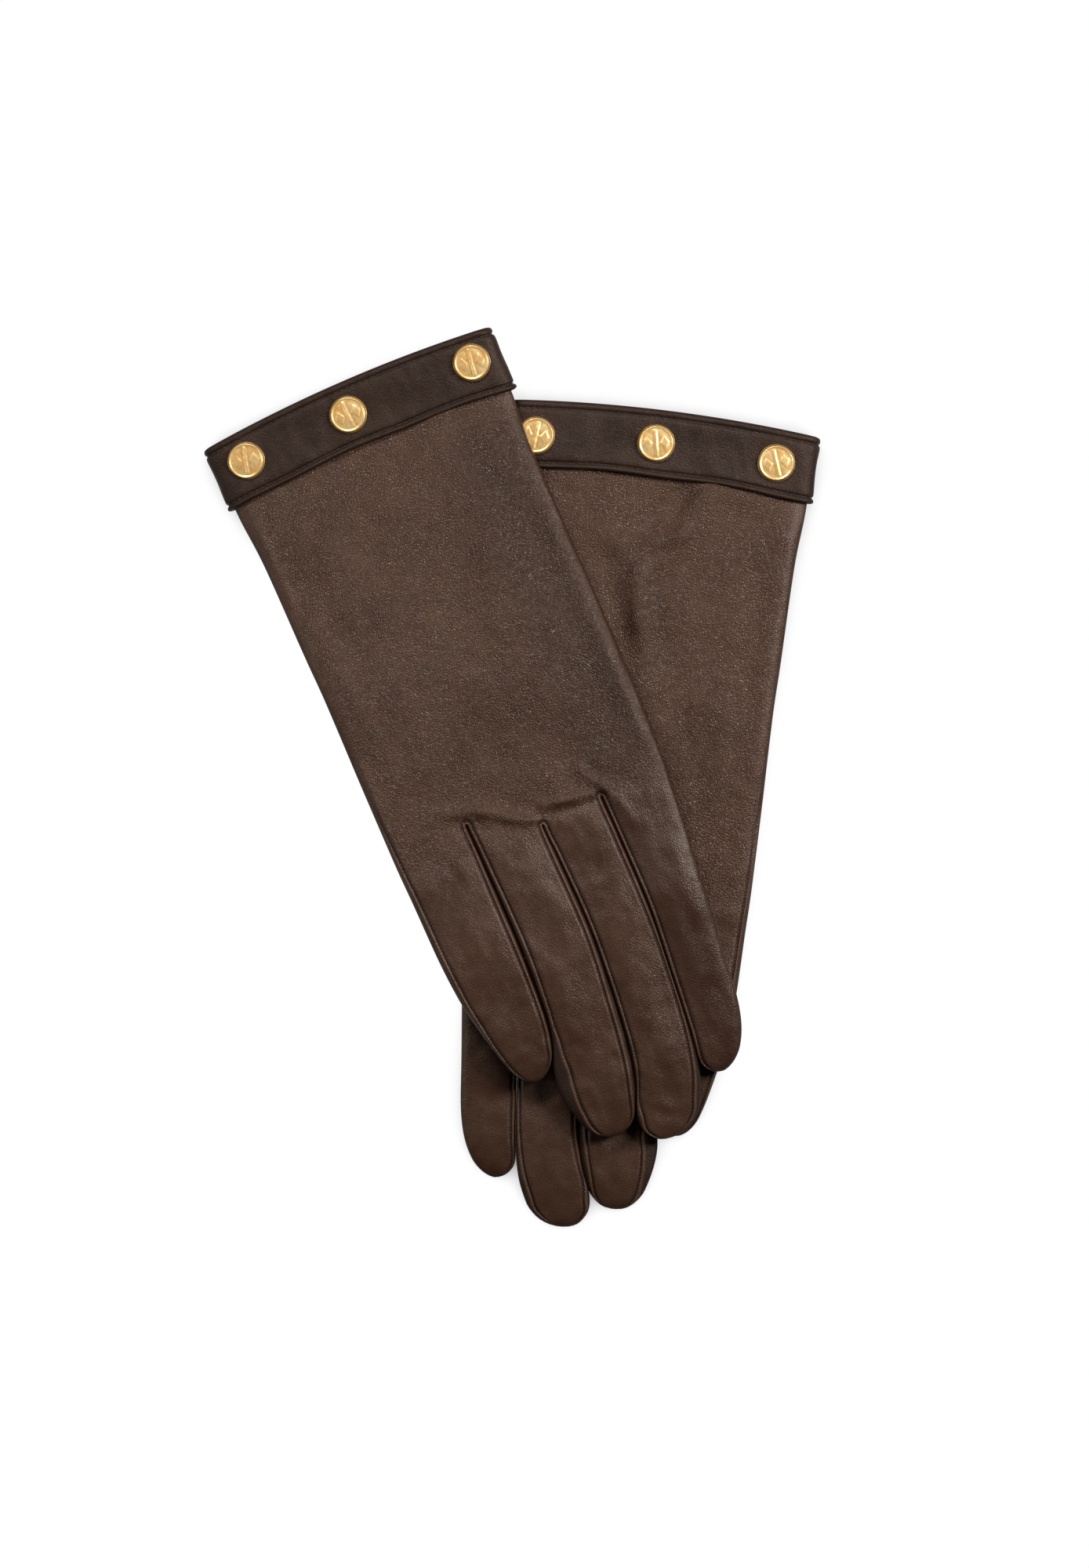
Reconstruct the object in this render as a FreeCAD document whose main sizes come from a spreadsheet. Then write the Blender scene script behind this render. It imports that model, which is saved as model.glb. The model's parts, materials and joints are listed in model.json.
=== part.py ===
import FreeCAD, Part
import math
import os

import Sketcher

# A pair of short leather dress gloves, put down one across the other with the backs of the hands up.
# The left-hand glove lies on the ground and the right-hand glove lies across it. Fingers point to -Y.
#
# Each glove is built in a frame of its own: x runs across the hand, y from the mouth of the cuff (0) to
# the fingertips, and z up from the ground. "Across" numbers count from the glove's middle line and are
# positive towards the thumb, so x is +across on the left glove and -across on the right one.
# All sizes are in millimetres and degrees.

SIGN = {"left": 1, "right": -1}

SIZES = {
    # materials and the play between layers
    "leather_wall": 0.9,
    "lining_wall": 0.4,
    "layer_gap": 0.05,
    "lining_setback": 1.5,
    # cuff band: a folded strip round the mouth, standing off the gauntlet by the stud washers' thickness
    "band_back": -1.5,
    "band_front": 20.0,
    "band_wall": 1.0,
    "band_gap": 0.6,
    # two rows of stitching, each sunk in a channel round the band
    "stitch_first": 1.0,
    "stitch_second": 18.2,
    "channel_width": 0.6,
    "channel_depth": 0.35,
    "thread_width": 0.5,
    "thread_play": 0.02,
    # domed studs riveted through the band
    "stud_radius": 6.0,
    "stud_height": 1.7,
    "stud_edge": 0.8,
    "stud_slot_width": 0.9,
    "stud_slot_length": 8.0,
    "stud_slot_depth": 0.3,
    "stud_seat_gap": 0.02,
    "post_radius": 1.5,
    "post_length": 1.5,
    "post_play": 0.1,
    "washer_radius": 4.0,
    "washer_thick": 0.35,
    "washer_gap": 0.08,
    # side strips sewn between the fingers
    "fourchette_height": 2.7,
    # thumb: a bag of its own, hinged under the palm and tucked towards the little finger
    "thumb_across": 28.0,
    "thumb_along": 108.0,
    "thumb_turn": 55.0,
    "thumb_opening_radius": 8.0,
    "opening_depth": 2.6,
    "opening_start": 2.1,
    # where each glove lies: its frame's origin and its turn about the vertical
    "left_place_x": 48.83,
    "left_place_y": 114.28,
    "left_place_turn": 173.0,
    "right_place_x": -52.27,
    "right_place_y": 123.98,
    "right_place_turn": 203.2,
    # the upper glove's cuff is rolled, its thumb side lifted by the glove below
    "left_cuff_roll": 0.0,
    "right_cuff_roll": 4.7,
}

# Stations of each tube or bag, in order from the cuff towards the fingertips. Each is a flat oval:
# (along, low edge across, high edge across, thickness, underside on the left glove, on the right glove).
STATIONS = {
    "gauntlet": [
        (0.0, -49.0, 47.8, 8.0, 1.6, 5.4),
        (21.5, -49.0, 47.8, 8.0, 1.6, 5.4),
        (40.0, -47.5, 46.4, 8.3, 2.8, 10.6),
        (84.8, -46.4, 46.6, 8.8, 5.2, 18.4),
    ],
    "palm": [
        (86.0, -46.3, 46.6, 9.0, 5.3, 18.6),
        (98.0, -46.3, 46.8, 9.0, 5.4, 20.2),
        (118.0, -46.4, 46.7, 9.0, 5.4, 20.2),
        (152.0, -46.3, 45.6, 8.6, 5.4, 20.2),
    ],
    "little": [
        (153.0, -46.2, -20.6, 8.6, 5.4, 20.2),
        (180.0, -45.6, -20.3, 8.0, 5.4, 20.2),
        (200.0, -43.8, -20.6, 7.6, 3.6, 17.4),
        (212.0, -41.2, -21.4, 7.1, 2.5, 16.0),
        (219.0, -39.4, -22.9, 6.4, 1.7, 15.2),
        (224.5, -37.3, -25.3, 5.3, 1.1, 14.6),
        (227.2, -34.2, -28.8, 4.0, 0.8, 14.4),
    ],
    "ring": [
        (153.0, -19.7, 1.8, 8.6, 5.4, 20.2),
        (185.0, -19.3, 2.6, 8.0, 5.4, 20.2),
        (212.0, -20.5, 0.9, 7.6, 3.5, 16.6),
        (222.0, -23.2, 0.1, 7.4, 2.6, 14.9),
        (230.0, -26.3, -0.9, 7.1, 2.0, 13.7),
        (241.0, -25.5, -3.2, 6.5, 1.2, 12.3),
        (249.0, -23.0, -6.4, 5.4, 0.6, 11.3),
        (252.9, -19.2, -10.2, 4.0, 0.4, 10.9),
    ],
    "middle": [
        (153.0, 2.6, 22.6, 8.6, 5.4, 20.2),
        (185.0, 3.5, 22.7, 8.0, 5.4, 20.2),
        (212.0, 1.9, 20.8, 7.6, 3.5, 16.6),
        (235.0, -1.0, 18.6, 7.1, 2.0, 13.7),
        (245.0, -4.0, 17.0, 6.6, 1.3, 12.4),
        (252.0, -7.4, 14.5, 6.0, 0.8, 11.5),
        (257.5, -6.0, 11.4, 5.0, 0.4, 10.9),
        (260.6, -3.2, 6.8, 4.0, 0.3, 10.6),
    ],
    "index": [
        (153.0, 23.4, 45.5, 8.6, 5.4, 20.2),
        (185.0, 23.7, 42.4, 8.0, 5.4, 20.2),
        (212.0, 21.8, 39.4, 7.6, 3.5, 16.6),
        (228.0, 20.3, 37.7, 7.1, 2.2, 14.2),
        (236.0, 19.4, 35.8, 6.5, 1.5, 13.2),
        (242.0, 18.4, 33.0, 5.6, 1.0, 12.5),
        (245.6, 19.0, 30.4, 4.8, 0.7, 12.1),
        (247.4, 21.6, 27.2, 3.8, 0.6, 11.9),
    ],
    # the thumb's stations run along the thumb from its hinge
    "thumb": [
        (-11.0, -7.0, 7.0, 4.0, 0.5, 15.3),
        (-4.0, -11.5, 11.5, 5.0, 0.0, 14.8),
        (20.0, -12.0, 12.0, 5.0, 0.0, 14.8),
        (42.0, -10.5, 10.5, 5.0, 0.0, 14.8),
        (53.0, -7.3, 7.3, 4.4, 0.1, 14.9),
        (58.0, -3.2, 3.2, 3.4, 0.2, 15.0),
    ],
}
COLUMNS = ("along", "low", "high", "thick", "left_rise", "right_rise")

# (across, along) of the three studs on each cuff
STUDS = {
    "left": [(-37.5, 9.9), (1.5, 8.3), (40.0, 10.5)],
    "right": [(-39.0, 8.6), (-3.0, 8.0), (40.0, 8.4)],
}

FINGERS = ("index", "middle", "ring", "little")

doc = FreeCAD.newDocument("gloves")
sheet = doc.addObject("Spreadsheet::Sheet", "Sizes")
sub_parts = {}


def fill_sheet():
    """One row for each named size: the number in column B, its alias the size's name."""
    values = dict(SIZES)
    for part, rows in STATIONS.items():
        for number, row in enumerate(rows, 1):
            for column, value in zip(COLUMNS, row):
                values[f"{part}_{column}_{number}"] = value
    for side, studs in STUDS.items():
        for number, (across, along) in enumerate(studs, 1):
            values[f"{side}_stud_across_{number}"] = across
            values[f"{side}_stud_along_{number}"] = along
    for line, (name, value) in enumerate(values.items(), 1):
        sheet.set(f"A{line}", name)
        sheet.set(f"B{line}", str(value))
        sheet.setAlias(f"B{line}", name)
    doc.recompute()


def glove_placement(side):
    """From a glove's own frame to the row frame."""
    place = FreeCAD.Vector(sheet.get(f"{side}_place_x"), sheet.get(f"{side}_place_y"), 0)
    turn = FreeCAD.Rotation(FreeCAD.Vector(0, 0, 1), sheet.get(f"{side}_place_turn"))
    return FreeCAD.Placement(place, turn)


def cuff_placement(side):
    """From the cuff's frame, whose y axis is the middle line of the mouth, to the row frame."""
    across = (sheet.get("gauntlet_low_1") + sheet.get("gauntlet_high_1")) / 2
    up = sheet.get(f"gauntlet_{side}_rise_1") + sheet.get("gauntlet_thick_1") / 2
    roll = SIGN[side] * sheet.get(f"{side}_cuff_roll")
    middle = FreeCAD.Vector(SIGN[side] * across, 0, up)
    lift = FreeCAD.Rotation(FreeCAD.Vector(0, -1, 0), roll)
    return glove_placement(side).multiply(FreeCAD.Placement(middle, lift))


def thumb_placement(side):
    """From the thumb's frame, hinged under the palm with y along the thumb, to the row frame."""
    hinge = FreeCAD.Vector(SIGN[side] * sheet.get("thumb_across"), sheet.get("thumb_along"), 0)
    turn = FreeCAD.Rotation(FreeCAD.Vector(0, 0, 1), SIGN[side] * sheet.get("thumb_turn"))
    return glove_placement(side).multiply(FreeCAD.Placement(hinge, turn))


def origin_plane(body, role):
    """One of the body's own three origin planes."""
    return [feature for feature in body.Origin.OriginFeatures if feature.Role == role][0]


def new_sketch(body, name, role, offset):
    """A sketch on an origin plane of its body, moved by offset: three expressions for x, y and z."""
    sketch = body.newObject("Sketcher::SketchObject", name)
    sketch.AttachmentSupport = [(origin_plane(body, role), "")]
    sketch.MapMode = "FlatFace"
    for axis, expression in zip("xyz", offset):
        sketch.setExpression(f".AttachmentOffset.Base.{axis}", expression)
    return sketch


def add_oval(sketch, label, radius, span):
    """A flat oval round the sketch's origin: two straight lines and two half circles."""
    first = sketch.GeometryCount
    start_radius = 3.0
    start_half = 10.0
    middle = FreeCAD.Vector(start_half, 0, 0)
    up = FreeCAD.Vector(0, start_radius, 0)
    axis = FreeCAD.Vector(0, 0, 1)
    right_circle = Part.Circle(middle, axis, start_radius)
    left_circle = Part.Circle(-middle, axis, start_radius)
    sketch.addGeometry(
        [
            Part.LineSegment(up - middle, up + middle),
            Part.ArcOfCircle(right_circle, -math.pi / 2, math.pi / 2),
            Part.LineSegment(middle - up, -middle - up),
            Part.ArcOfCircle(left_circle, math.pi / 2, 3 * math.pi / 2),
        ],
        False,
    )
    top, right, bottom, left = range(first, first + 4)
    sketch.addConstraint(
        [
            Sketcher.Constraint("Tangent", top, 2, right, 2),
            Sketcher.Constraint("Tangent", right, 1, bottom, 1),
            Sketcher.Constraint("Tangent", bottom, 2, left, 2),
            Sketcher.Constraint("Tangent", left, 1, top, 1),
            Sketcher.Constraint("Equal", right, left),
            Sketcher.Constraint("Horizontal", top),
            Sketcher.Constraint("Symmetric", right, 3, left, 3, -1, 1),
        ]
    )
    end = sketch.addConstraint(Sketcher.Constraint("Radius", right, start_radius))
    reach = sketch.addConstraint(Sketcher.Constraint("DistanceX", left, 3, right, 3, 2 * start_half))
    sketch.renameConstraint(end, f"{label}_radius")
    sketch.renameConstraint(reach, f"{label}_span")
    sketch.setExpression(f"Constraints.{label}_radius", radius)
    sketch.setExpression(f"Constraints.{label}_span", span)


def add_circle(sketch, label, radius, across, along):
    """A circle placed and sized by expressions."""
    circle = sketch.addGeometry(Part.Circle(FreeCAD.Vector(1, 1, 0), FreeCAD.Vector(0, 0, 1), 1.0), False)
    for kind, value in (("DistanceX", across), ("DistanceY", along)):
        place = sketch.addConstraint(Sketcher.Constraint(kind, -1, 1, circle, 3, 1.0))
        sketch.renameConstraint(place, f"{label}_{kind}")
        sketch.setExpression(f"Constraints.{label}_{kind}", value)
    size = sketch.addConstraint(Sketcher.Constraint("Radius", circle, 1.0))
    sketch.renameConstraint(size, f"{label}_radius")
    sketch.setExpression(f"Constraints.{label}_radius", radius)


def station(body, side, part, number, name, inset, forward="0"):
    """One cross-section of a tube, inset from the outer skin and moved forward along the tube."""
    low = f"Sizes.{part}_low_{number}"
    high = f"Sizes.{part}_high_{number}"
    thick = f"Sizes.{part}_thick_{number}"
    rise = f"Sizes.{part}_{side}_rise_{number}"
    offset = (
        f"{SIGN[side]} * ({low} + {high}) / 2",
        f"{rise} + {thick} / 2",
        f"-Sizes.{part}_along_{number} - ({forward})",
    )
    sketch = new_sketch(body, name, "XZ_Plane", offset)
    add_oval(sketch, "oval", f"{thick} / 2 - ({inset})", f"{high} - {low} - {thick}")
    if part == "gauntlet" and number < len(STATIONS[part]):
        sketch.setExpression(".AttachmentOffset.Rotation.Angle", f"{SIGN[side]} * Sizes.{side}_cuff_roll")
    return sketch


def add_loft(body, kind, name, sketches):
    """A straight-ruled loft through the sketches, added to the body or cut from it."""
    loft = body.newObject(f"PartDesign::{kind}", name)
    loft.Profile = sketches[0]
    loft.Sections = sketches[1:]
    loft.Ruled = True
    return loft


def new_body(side, name):
    return doc.addObject("PartDesign::Body", f"{side}_{name}")


def keep(name, sub_part, placement, solids=1):
    """Names a sub-part, puts it in its place and notes how many solids it has."""
    sub_part.Label = name
    sub_part.Placement = placement
    sub_parts[name] = (sub_part, solids)


def tube(side, part, name, outer, wall, closed, setback="0"):
    """A hollow skin along a part's stations. closed says which of its two ends are closed off."""
    body = new_body(side, name)
    inner = f"{outer} + {wall}"
    count = len(STATIONS[part])
    for kind, inset in (("AdditiveLoft", outer), ("SubtractiveLoft", inner)):
        sketches = []
        for number in range(1, count + 1):
            forward = "0"
            if number == 1:
                forward = inset if closed[0] else setback
            if number == count and closed[1]:
                forward = f"-({inset})"
            sketches.append(station(body, side, part, number, f"{name}_{kind}_{number}", inset, forward))
        add_loft(body, kind, f"{name}_{kind}", sketches)
    return body


LEATHER = ("0", "Sizes.leather_wall")
LINING = ("Sizes.leather_wall + Sizes.layer_gap", "Sizes.lining_wall")


def cut_thumb_opening(body, side, name, level, across, along):
    """The round opening where the thumb joins the palm, cut downwards through one wall only."""
    sketch = new_sketch(body, f"{name}_opening_sketch", "XY_Plane", ("0", "0", level))
    add_circle(sketch, "opening", "Sizes.thumb_opening_radius", across, along)
    opening = body.newObject("PartDesign::Pocket", f"{name}_opening")
    opening.Profile = sketch
    opening.setExpression("Length", "Sizes.opening_depth")


def build_hand(side):
    """Gauntlet and palm: two open tubes of leather, each with its lining."""
    place = glove_placement(side)
    open_tube = (False, False)
    for part in ("gauntlet", "palm"):
        back = "0" if part == "palm" else "Sizes.lining_setback"
        skin = tube(side, part, part, *LEATHER, open_tube)
        lining = tube(side, part, f"{part}_lining", *LINING, open_tube, back)
        if part == "palm":
            level = f"Sizes.palm_{side}_rise_3 + Sizes.opening_start"
            across = f"{SIGN[side]} * Sizes.thumb_across"
            cut_thumb_opening(skin, side, "palm", level, across, "Sizes.thumb_along")
            cut_thumb_opening(lining, side, "palm_lining", level, across, "Sizes.thumb_along")
        keep(f"{side}_{part}", skin, place)
        keep(f"{side}_{part}_lining", lining, place)


def build_thumb(side):
    """The thumb: a closed bag of leather round a lining, open upwards where it meets the palm."""
    for name, layer in (("thumb", LEATHER), ("thumb_lining", LINING)):
        body = tube(side, "thumb", name, *layer, (True, True))
        level = f"Sizes.thumb_{side}_rise_2 + Sizes.thumb_thick_2 + Sizes.opening_depth - Sizes.opening_start"
        cut_thumb_opening(body, side, name, level, "0", "0")
        keep(f"{side}_{name}", body, thumb_placement(side))


def side_blade(side, finger, neighbour, edge):
    """A flat block over one edge of a finger, as high as the side strip that it marks out."""
    name = f"{finger}_blade_{neighbour}"
    body = new_body(side, name)
    height = "Sizes.fourchette_height"
    sketches = []
    for number in range(1, len(STATIONS[finger])):
        low = f"Sizes.{finger}_low_{number}"
        high = f"Sizes.{finger}_high_{number}"
        rise = f"Sizes.{finger}_{side}_rise_{number}"
        offset = (
            f"{SIGN[side]} * Sizes.{finger}_{edge}_{number}",
            f"{rise} + Sizes.{finger}_thick_{number} / 2",
            f"-Sizes.{finger}_along_{number}",
        )
        sketch = new_sketch(body, f"{name}_{number}", "XZ_Plane", offset)
        add_oval(sketch, "oval", f"{height} / 2", f"{high} - {low} - {height}")
        sketches.append(sketch)
    add_loft(body, "AdditiveLoft", f"{name}_loft", sketches)
    return body


def build_finger(side, finger):
    """A finger: its leather, a side strip (fourchette) against each neighbour, and its lining."""
    place = glove_placement(side)
    bag = (False, True)
    order = FINGERS.index(finger)
    neighbours = []
    if order > 0:
        neighbours.append((FINGERS[order - 1], "high"))
    if order < len(FINGERS) - 1:
        neighbours.append((FINGERS[order + 1], "low"))
    skin = tube(side, finger, f"{finger}_skin", *LEATHER, bag)
    for neighbour, edge in neighbours:
        blade = side_blade(side, finger, neighbour, edge)
        strip = doc.addObject("Part::Common", f"{side}_{finger}_strip_{neighbour}")
        strip.Base = skin
        strip.Tool = blade
        keep(f"{side}_{finger}_fourchette_near_{neighbour}", strip, place)
    blades = doc.addObject("Part::Compound", f"{side}_{finger}_blades")
    blades.Links = [doc.getObject(f"{side}_{finger}_blade_{neighbour}") for neighbour, edge in neighbours]
    leather = doc.addObject("Part::Cut", f"{side}_{finger}_leather")
    leather.Base = skin
    leather.Tool = blades
    keep(f"{side}_{finger}_finger", leather, place)
    lining = tube(side, finger, f"{finger}_lining", *LINING, bag)
    keep(f"{side}_{finger}_finger_lining", lining, place)


BAND_SPAN = "Sizes.gauntlet_high_1 - Sizes.gauntlet_low_1 - Sizes.gauntlet_thick_1"
BAND_INNER = "Sizes.gauntlet_thick_1 / 2 + Sizes.band_gap"
BAND_OUTER = f"{BAND_INNER} + Sizes.band_wall"


def add_ring_sketch(body, name, front, inner, outer):
    """Two ovals round the cuff's middle line, the space between them a ring."""
    sketch = new_sketch(body, name, "XZ_Plane", ("0", "0", f"-({front})"))
    add_oval(sketch, "inner", inner, BAND_SPAN)
    add_oval(sketch, "outer", outer, BAND_SPAN)
    return sketch


def stud_places(side):
    """Expressions for each stud's place in the cuff's frame."""
    middle = "(Sizes.gauntlet_low_1 + Sizes.gauntlet_high_1) / 2"
    places = []
    for number in range(1, len(STUDS[side]) + 1):
        across = f"{SIGN[side]} * (Sizes.{side}_stud_across_{number} - {middle})"
        places.append((across, f"Sizes.{side}_stud_along_{number}"))
    return places


def add_stud_circles(body, side, name, level, radius):
    """A sketch with one circle at each stud."""
    sketch = new_sketch(body, name, "XY_Plane", ("0", "0", level))
    for number, (across, along) in enumerate(stud_places(side), 1):
        add_circle(sketch, f"stud_{number}", radius, across, along)
    return sketch


def build_band(side):
    """The cuff band: a closed strip with two stitch channels and a hole for each stud's post."""
    body = new_body(side, "cuff_band")
    strip = body.newObject("PartDesign::Pad", "strip")
    strip.Profile = add_ring_sketch(body, "strip_sketch", "Sizes.band_front", BAND_INNER, BAND_OUTER)
    strip.setExpression("Length", "Sizes.band_front - Sizes.band_back")
    for row in ("first", "second"):
        front = f"Sizes.stitch_{row} + Sizes.channel_width / 2"
        floor = f"{BAND_OUTER} - Sizes.channel_depth"
        channel = body.newObject("PartDesign::Pocket", f"channel_{row}")
        channel.Profile = add_ring_sketch(
            body, f"channel_{row}_sketch", front, floor, f"{BAND_OUTER} + Sizes.channel_depth"
        )
        channel.Reversed = True
        channel.setExpression("Length", "Sizes.channel_width")
        doc.recompute()
    holes = body.newObject("PartDesign::Pocket", "post_holes")
    holes.Profile = add_stud_circles(
        body, side, "post_holes_sketch", f"{BAND_OUTER} + 1", "Sizes.post_radius + Sizes.post_play"
    )
    holes.setExpression("Length", "Sizes.band_wall + 1.5")
    keep(f"{side}_cuff_band", body, cuff_placement(side))


def build_stitching(side):
    """Two loops of thread, one in each channel of the band."""
    body = new_body(side, "cuff_stitching")
    body.AllowCompound = True
    for row in ("first", "second"):
        front = f"Sizes.stitch_{row} + Sizes.thread_width / 2"
        inner = f"{BAND_OUTER} - Sizes.channel_depth + Sizes.thread_play"
        loop = body.newObject("PartDesign::Pad", f"thread_{row}")
        loop.Profile = add_ring_sketch(
            body, f"thread_{row}_sketch", front, inner, f"{BAND_OUTER} - Sizes.thread_play"
        )
        loop.setExpression("Length", "Sizes.thread_width")
    keep(f"{side}_cuff_stitching", body, cuff_placement(side), solids=2)


def build_studs(side):
    """Three domed studs: a slotted cap on a post that passes through the band, and a washer inside it."""
    seat = f"{BAND_OUTER} + Sizes.stud_seat_gap"
    caps = new_body(side, "stud_caps")
    caps.AllowCompound = True
    disc = caps.newObject("PartDesign::Pad", "discs")
    disc.Profile = add_stud_circles(caps, side, "discs_sketch", seat, "Sizes.stud_radius")
    disc.setExpression("Length", "Sizes.stud_height")
    doc.recompute()
    top = sheet.get("gauntlet_thick_1") / 2 + sheet.get("band_gap") + sheet.get("band_wall")
    top += sheet.get("stud_seat_gap") + sheet.get("stud_height")
    rims = []
    for number, edge in enumerate(disc.Shape.Edges, 1):
        box = edge.BoundBox
        if box.ZLength < 1e-6 and abs(box.ZMin - top) < 1e-4:
            rims.append(f"Edge{number}")
    dome = caps.newObject("PartDesign::Fillet", "domes")
    dome.Base = (disc, rims)
    dome.setExpression("Radius", "Sizes.stud_edge")
    slots = caps.newObject("PartDesign::Pocket", "slots")
    sketch = new_sketch(caps, "slots_sketch", "XY_Plane", ("0", "0", f"{seat} + Sizes.stud_height"))
    for number, (across, along) in enumerate(stud_places(side), 1):
        add_slot(sketch, f"slot_{number}", across, along)
    slots.Profile = sketch
    slots.setExpression("Length", "Sizes.stud_slot_depth")
    posts = caps.newObject("PartDesign::Pad", "posts")
    posts.Profile = add_stud_circles(caps, side, "posts_sketch", f"{seat} + 0.1", "Sizes.post_radius")
    posts.Reversed = True
    posts.setExpression("Length", "Sizes.post_length + 0.1")
    keep(f"{side}_stud_caps", caps, cuff_placement(side), solids=len(STUDS[side]))

    washers = new_body(side, "stud_washers")
    washers.AllowCompound = True
    level = f"{BAND_INNER} - Sizes.washer_gap - Sizes.washer_thick"
    ring = washers.newObject("PartDesign::Pad", "rings")
    sketch = add_stud_circles(washers, side, "rings_sketch", level, "Sizes.washer_radius")
    for number, (across, along) in enumerate(stud_places(side), 1):
        add_circle(sketch, f"hole_{number}", "Sizes.post_radius + Sizes.thread_play", across, along)
    ring.Profile = sketch
    ring.setExpression("Length", "Sizes.washer_thick")
    keep(f"{side}_stud_washers", washers, cuff_placement(side), solids=len(STUDS[side]))


def add_slot(sketch, label, across, along):
    """A straight narrow slot across the middle of a stud, running along the glove."""
    first = sketch.GeometryCount
    corners = [(-1, -2), (1, -2), (1, 2), (-1, 2)]
    points = [FreeCAD.Vector(x, y, 0) for x, y in corners]
    for start, end in zip(points, points[1:] + points[:1]):
        sketch.addGeometry(Part.LineSegment(start, end), False)
    bottom, right, top, left = range(first, first + 4)
    for before, after in ((bottom, right), (right, top), (top, left), (left, bottom)):
        sketch.addConstraint(Sketcher.Constraint("Coincident", before, 2, after, 1))
    for line in (bottom, top):
        sketch.addConstraint(Sketcher.Constraint("Horizontal", line))
    for line in (right, left):
        sketch.addConstraint(Sketcher.Constraint("Vertical", line))
    middle = sketch.addGeometry(Part.Point(FreeCAD.Vector(0, 0, 0)), True)
    sketch.addConstraint(Sketcher.Constraint("Symmetric", bottom, 1, top, 1, middle, 1))
    lengths = (
        ("wide", "DistanceX", (bottom, 1, bottom, 2), "Sizes.stud_slot_width"),
        ("long", "DistanceY", (right, 1, right, 2), "Sizes.stud_slot_length"),
        ("across", "DistanceX", (-1, 1, middle, 1), across),
        ("along", "DistanceY", (-1, 1, middle, 1), along),
    )
    for word, kind, ends, expression in lengths:
        size = sketch.addConstraint(Sketcher.Constraint(kind, *ends, 1.0))
        sketch.renameConstraint(size, f"{label}_{word}")
        sketch.setExpression(f"Constraints.{label}_{word}", expression)


def check_document():
    """Stops if any object failed, or a sub-part isn't the valid solids that it should be."""
    for item in doc.Objects:
        if "Invalid" in item.State or "Error" in item.State:
            raise RuntimeError(f"{item.Name} failed to build: {item.State}")
    for name, (sub_part, solids) in sub_parts.items():
        shape = sub_part.Shape
        if shape.isNull() or not shape.isValid():
            raise RuntimeError(f"{name} has no valid shape")
        if len(shape.Solids) != solids:
            raise RuntimeError(f"{name} has {len(shape.Solids)} solids, not {solids}")


def check_cuts():
    """Stops if a pocket removed nothing from its body."""
    for item in doc.Objects:
        if item.TypeId == "PartDesign::Pocket":
            if item.Shape.Volume > item.BaseFeature.Shape.Volume - 0.1:
                raise RuntimeError(f"{item.Name} cuts nothing")


def write_parts():
    os.makedirs("parts", exist_ok=True)
    for name, (sub_part, solids) in sub_parts.items():
        sub_part.Shape.exportStep(f"parts/{name}.step")


fill_sheet()
for side in SIGN:
    build_hand(side)
    build_thumb(side)
    for finger in FINGERS:
        build_finger(side, finger)
    build_band(side)
    build_stitching(side)
    build_studs(side)
doc.recompute()
check_document()
check_cuts()
write_parts()
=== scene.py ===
import copy
import json
import math

import bpy
import numpy as np
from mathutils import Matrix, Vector, noise


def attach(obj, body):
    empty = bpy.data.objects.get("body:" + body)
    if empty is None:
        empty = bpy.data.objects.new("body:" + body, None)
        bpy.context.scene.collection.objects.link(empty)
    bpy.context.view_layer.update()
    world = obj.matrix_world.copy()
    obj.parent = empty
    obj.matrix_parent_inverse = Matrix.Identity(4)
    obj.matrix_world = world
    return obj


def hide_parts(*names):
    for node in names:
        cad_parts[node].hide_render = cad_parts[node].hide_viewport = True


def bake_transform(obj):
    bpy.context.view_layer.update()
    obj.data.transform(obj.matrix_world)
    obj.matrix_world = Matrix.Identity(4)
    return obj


# A pair of leather gloves, modelled round the CAD frame. All shape numbers are in millimetres in a
# glove's own directions: across the hand (towards the thumb), along it (from the cuff's mouth to the
# fingertips) and up. GloveFrame turns them into places in the row frame, in metres.

MM = 0.001
FINGERS = ("little", "ring", "middle", "index")
UPWARDS = (0, 0, 1)
IN_PLAN = (1, 1, 0)  # a place times this has no height

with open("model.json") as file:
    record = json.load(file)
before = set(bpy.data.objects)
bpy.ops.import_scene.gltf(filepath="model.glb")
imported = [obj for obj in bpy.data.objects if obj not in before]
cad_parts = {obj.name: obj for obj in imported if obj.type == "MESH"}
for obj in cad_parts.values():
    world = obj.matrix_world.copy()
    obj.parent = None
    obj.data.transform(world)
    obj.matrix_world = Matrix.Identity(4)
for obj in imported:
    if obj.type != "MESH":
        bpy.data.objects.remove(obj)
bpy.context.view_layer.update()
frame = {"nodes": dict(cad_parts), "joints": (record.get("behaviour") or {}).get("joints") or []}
joints = {joint["name"]: joint for joint in frame["joints"]}

# ---- reading the frame

BAND_BACK = -1.5  # the CAD band's mouth edge, along the glove
SECTION_POINTS = 24  # this many CAD vertices at one place along the glove are a section of it
CUT_EDGES = 8  # a cut through fewer edges than this isn't a whole section
CUT_MARGIN = 0.02  # a cut is at least this far from the ends of the piece
EDGE_BAND = 0.3  # the level of a section's edges is taken this near to them


def node_points(node):
    mesh = frame["nodes"][node].data
    points = np.empty(len(mesh.vertices) * 3)
    mesh.vertices.foreach_get("co", points)
    return points.reshape(-1, 3)


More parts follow.
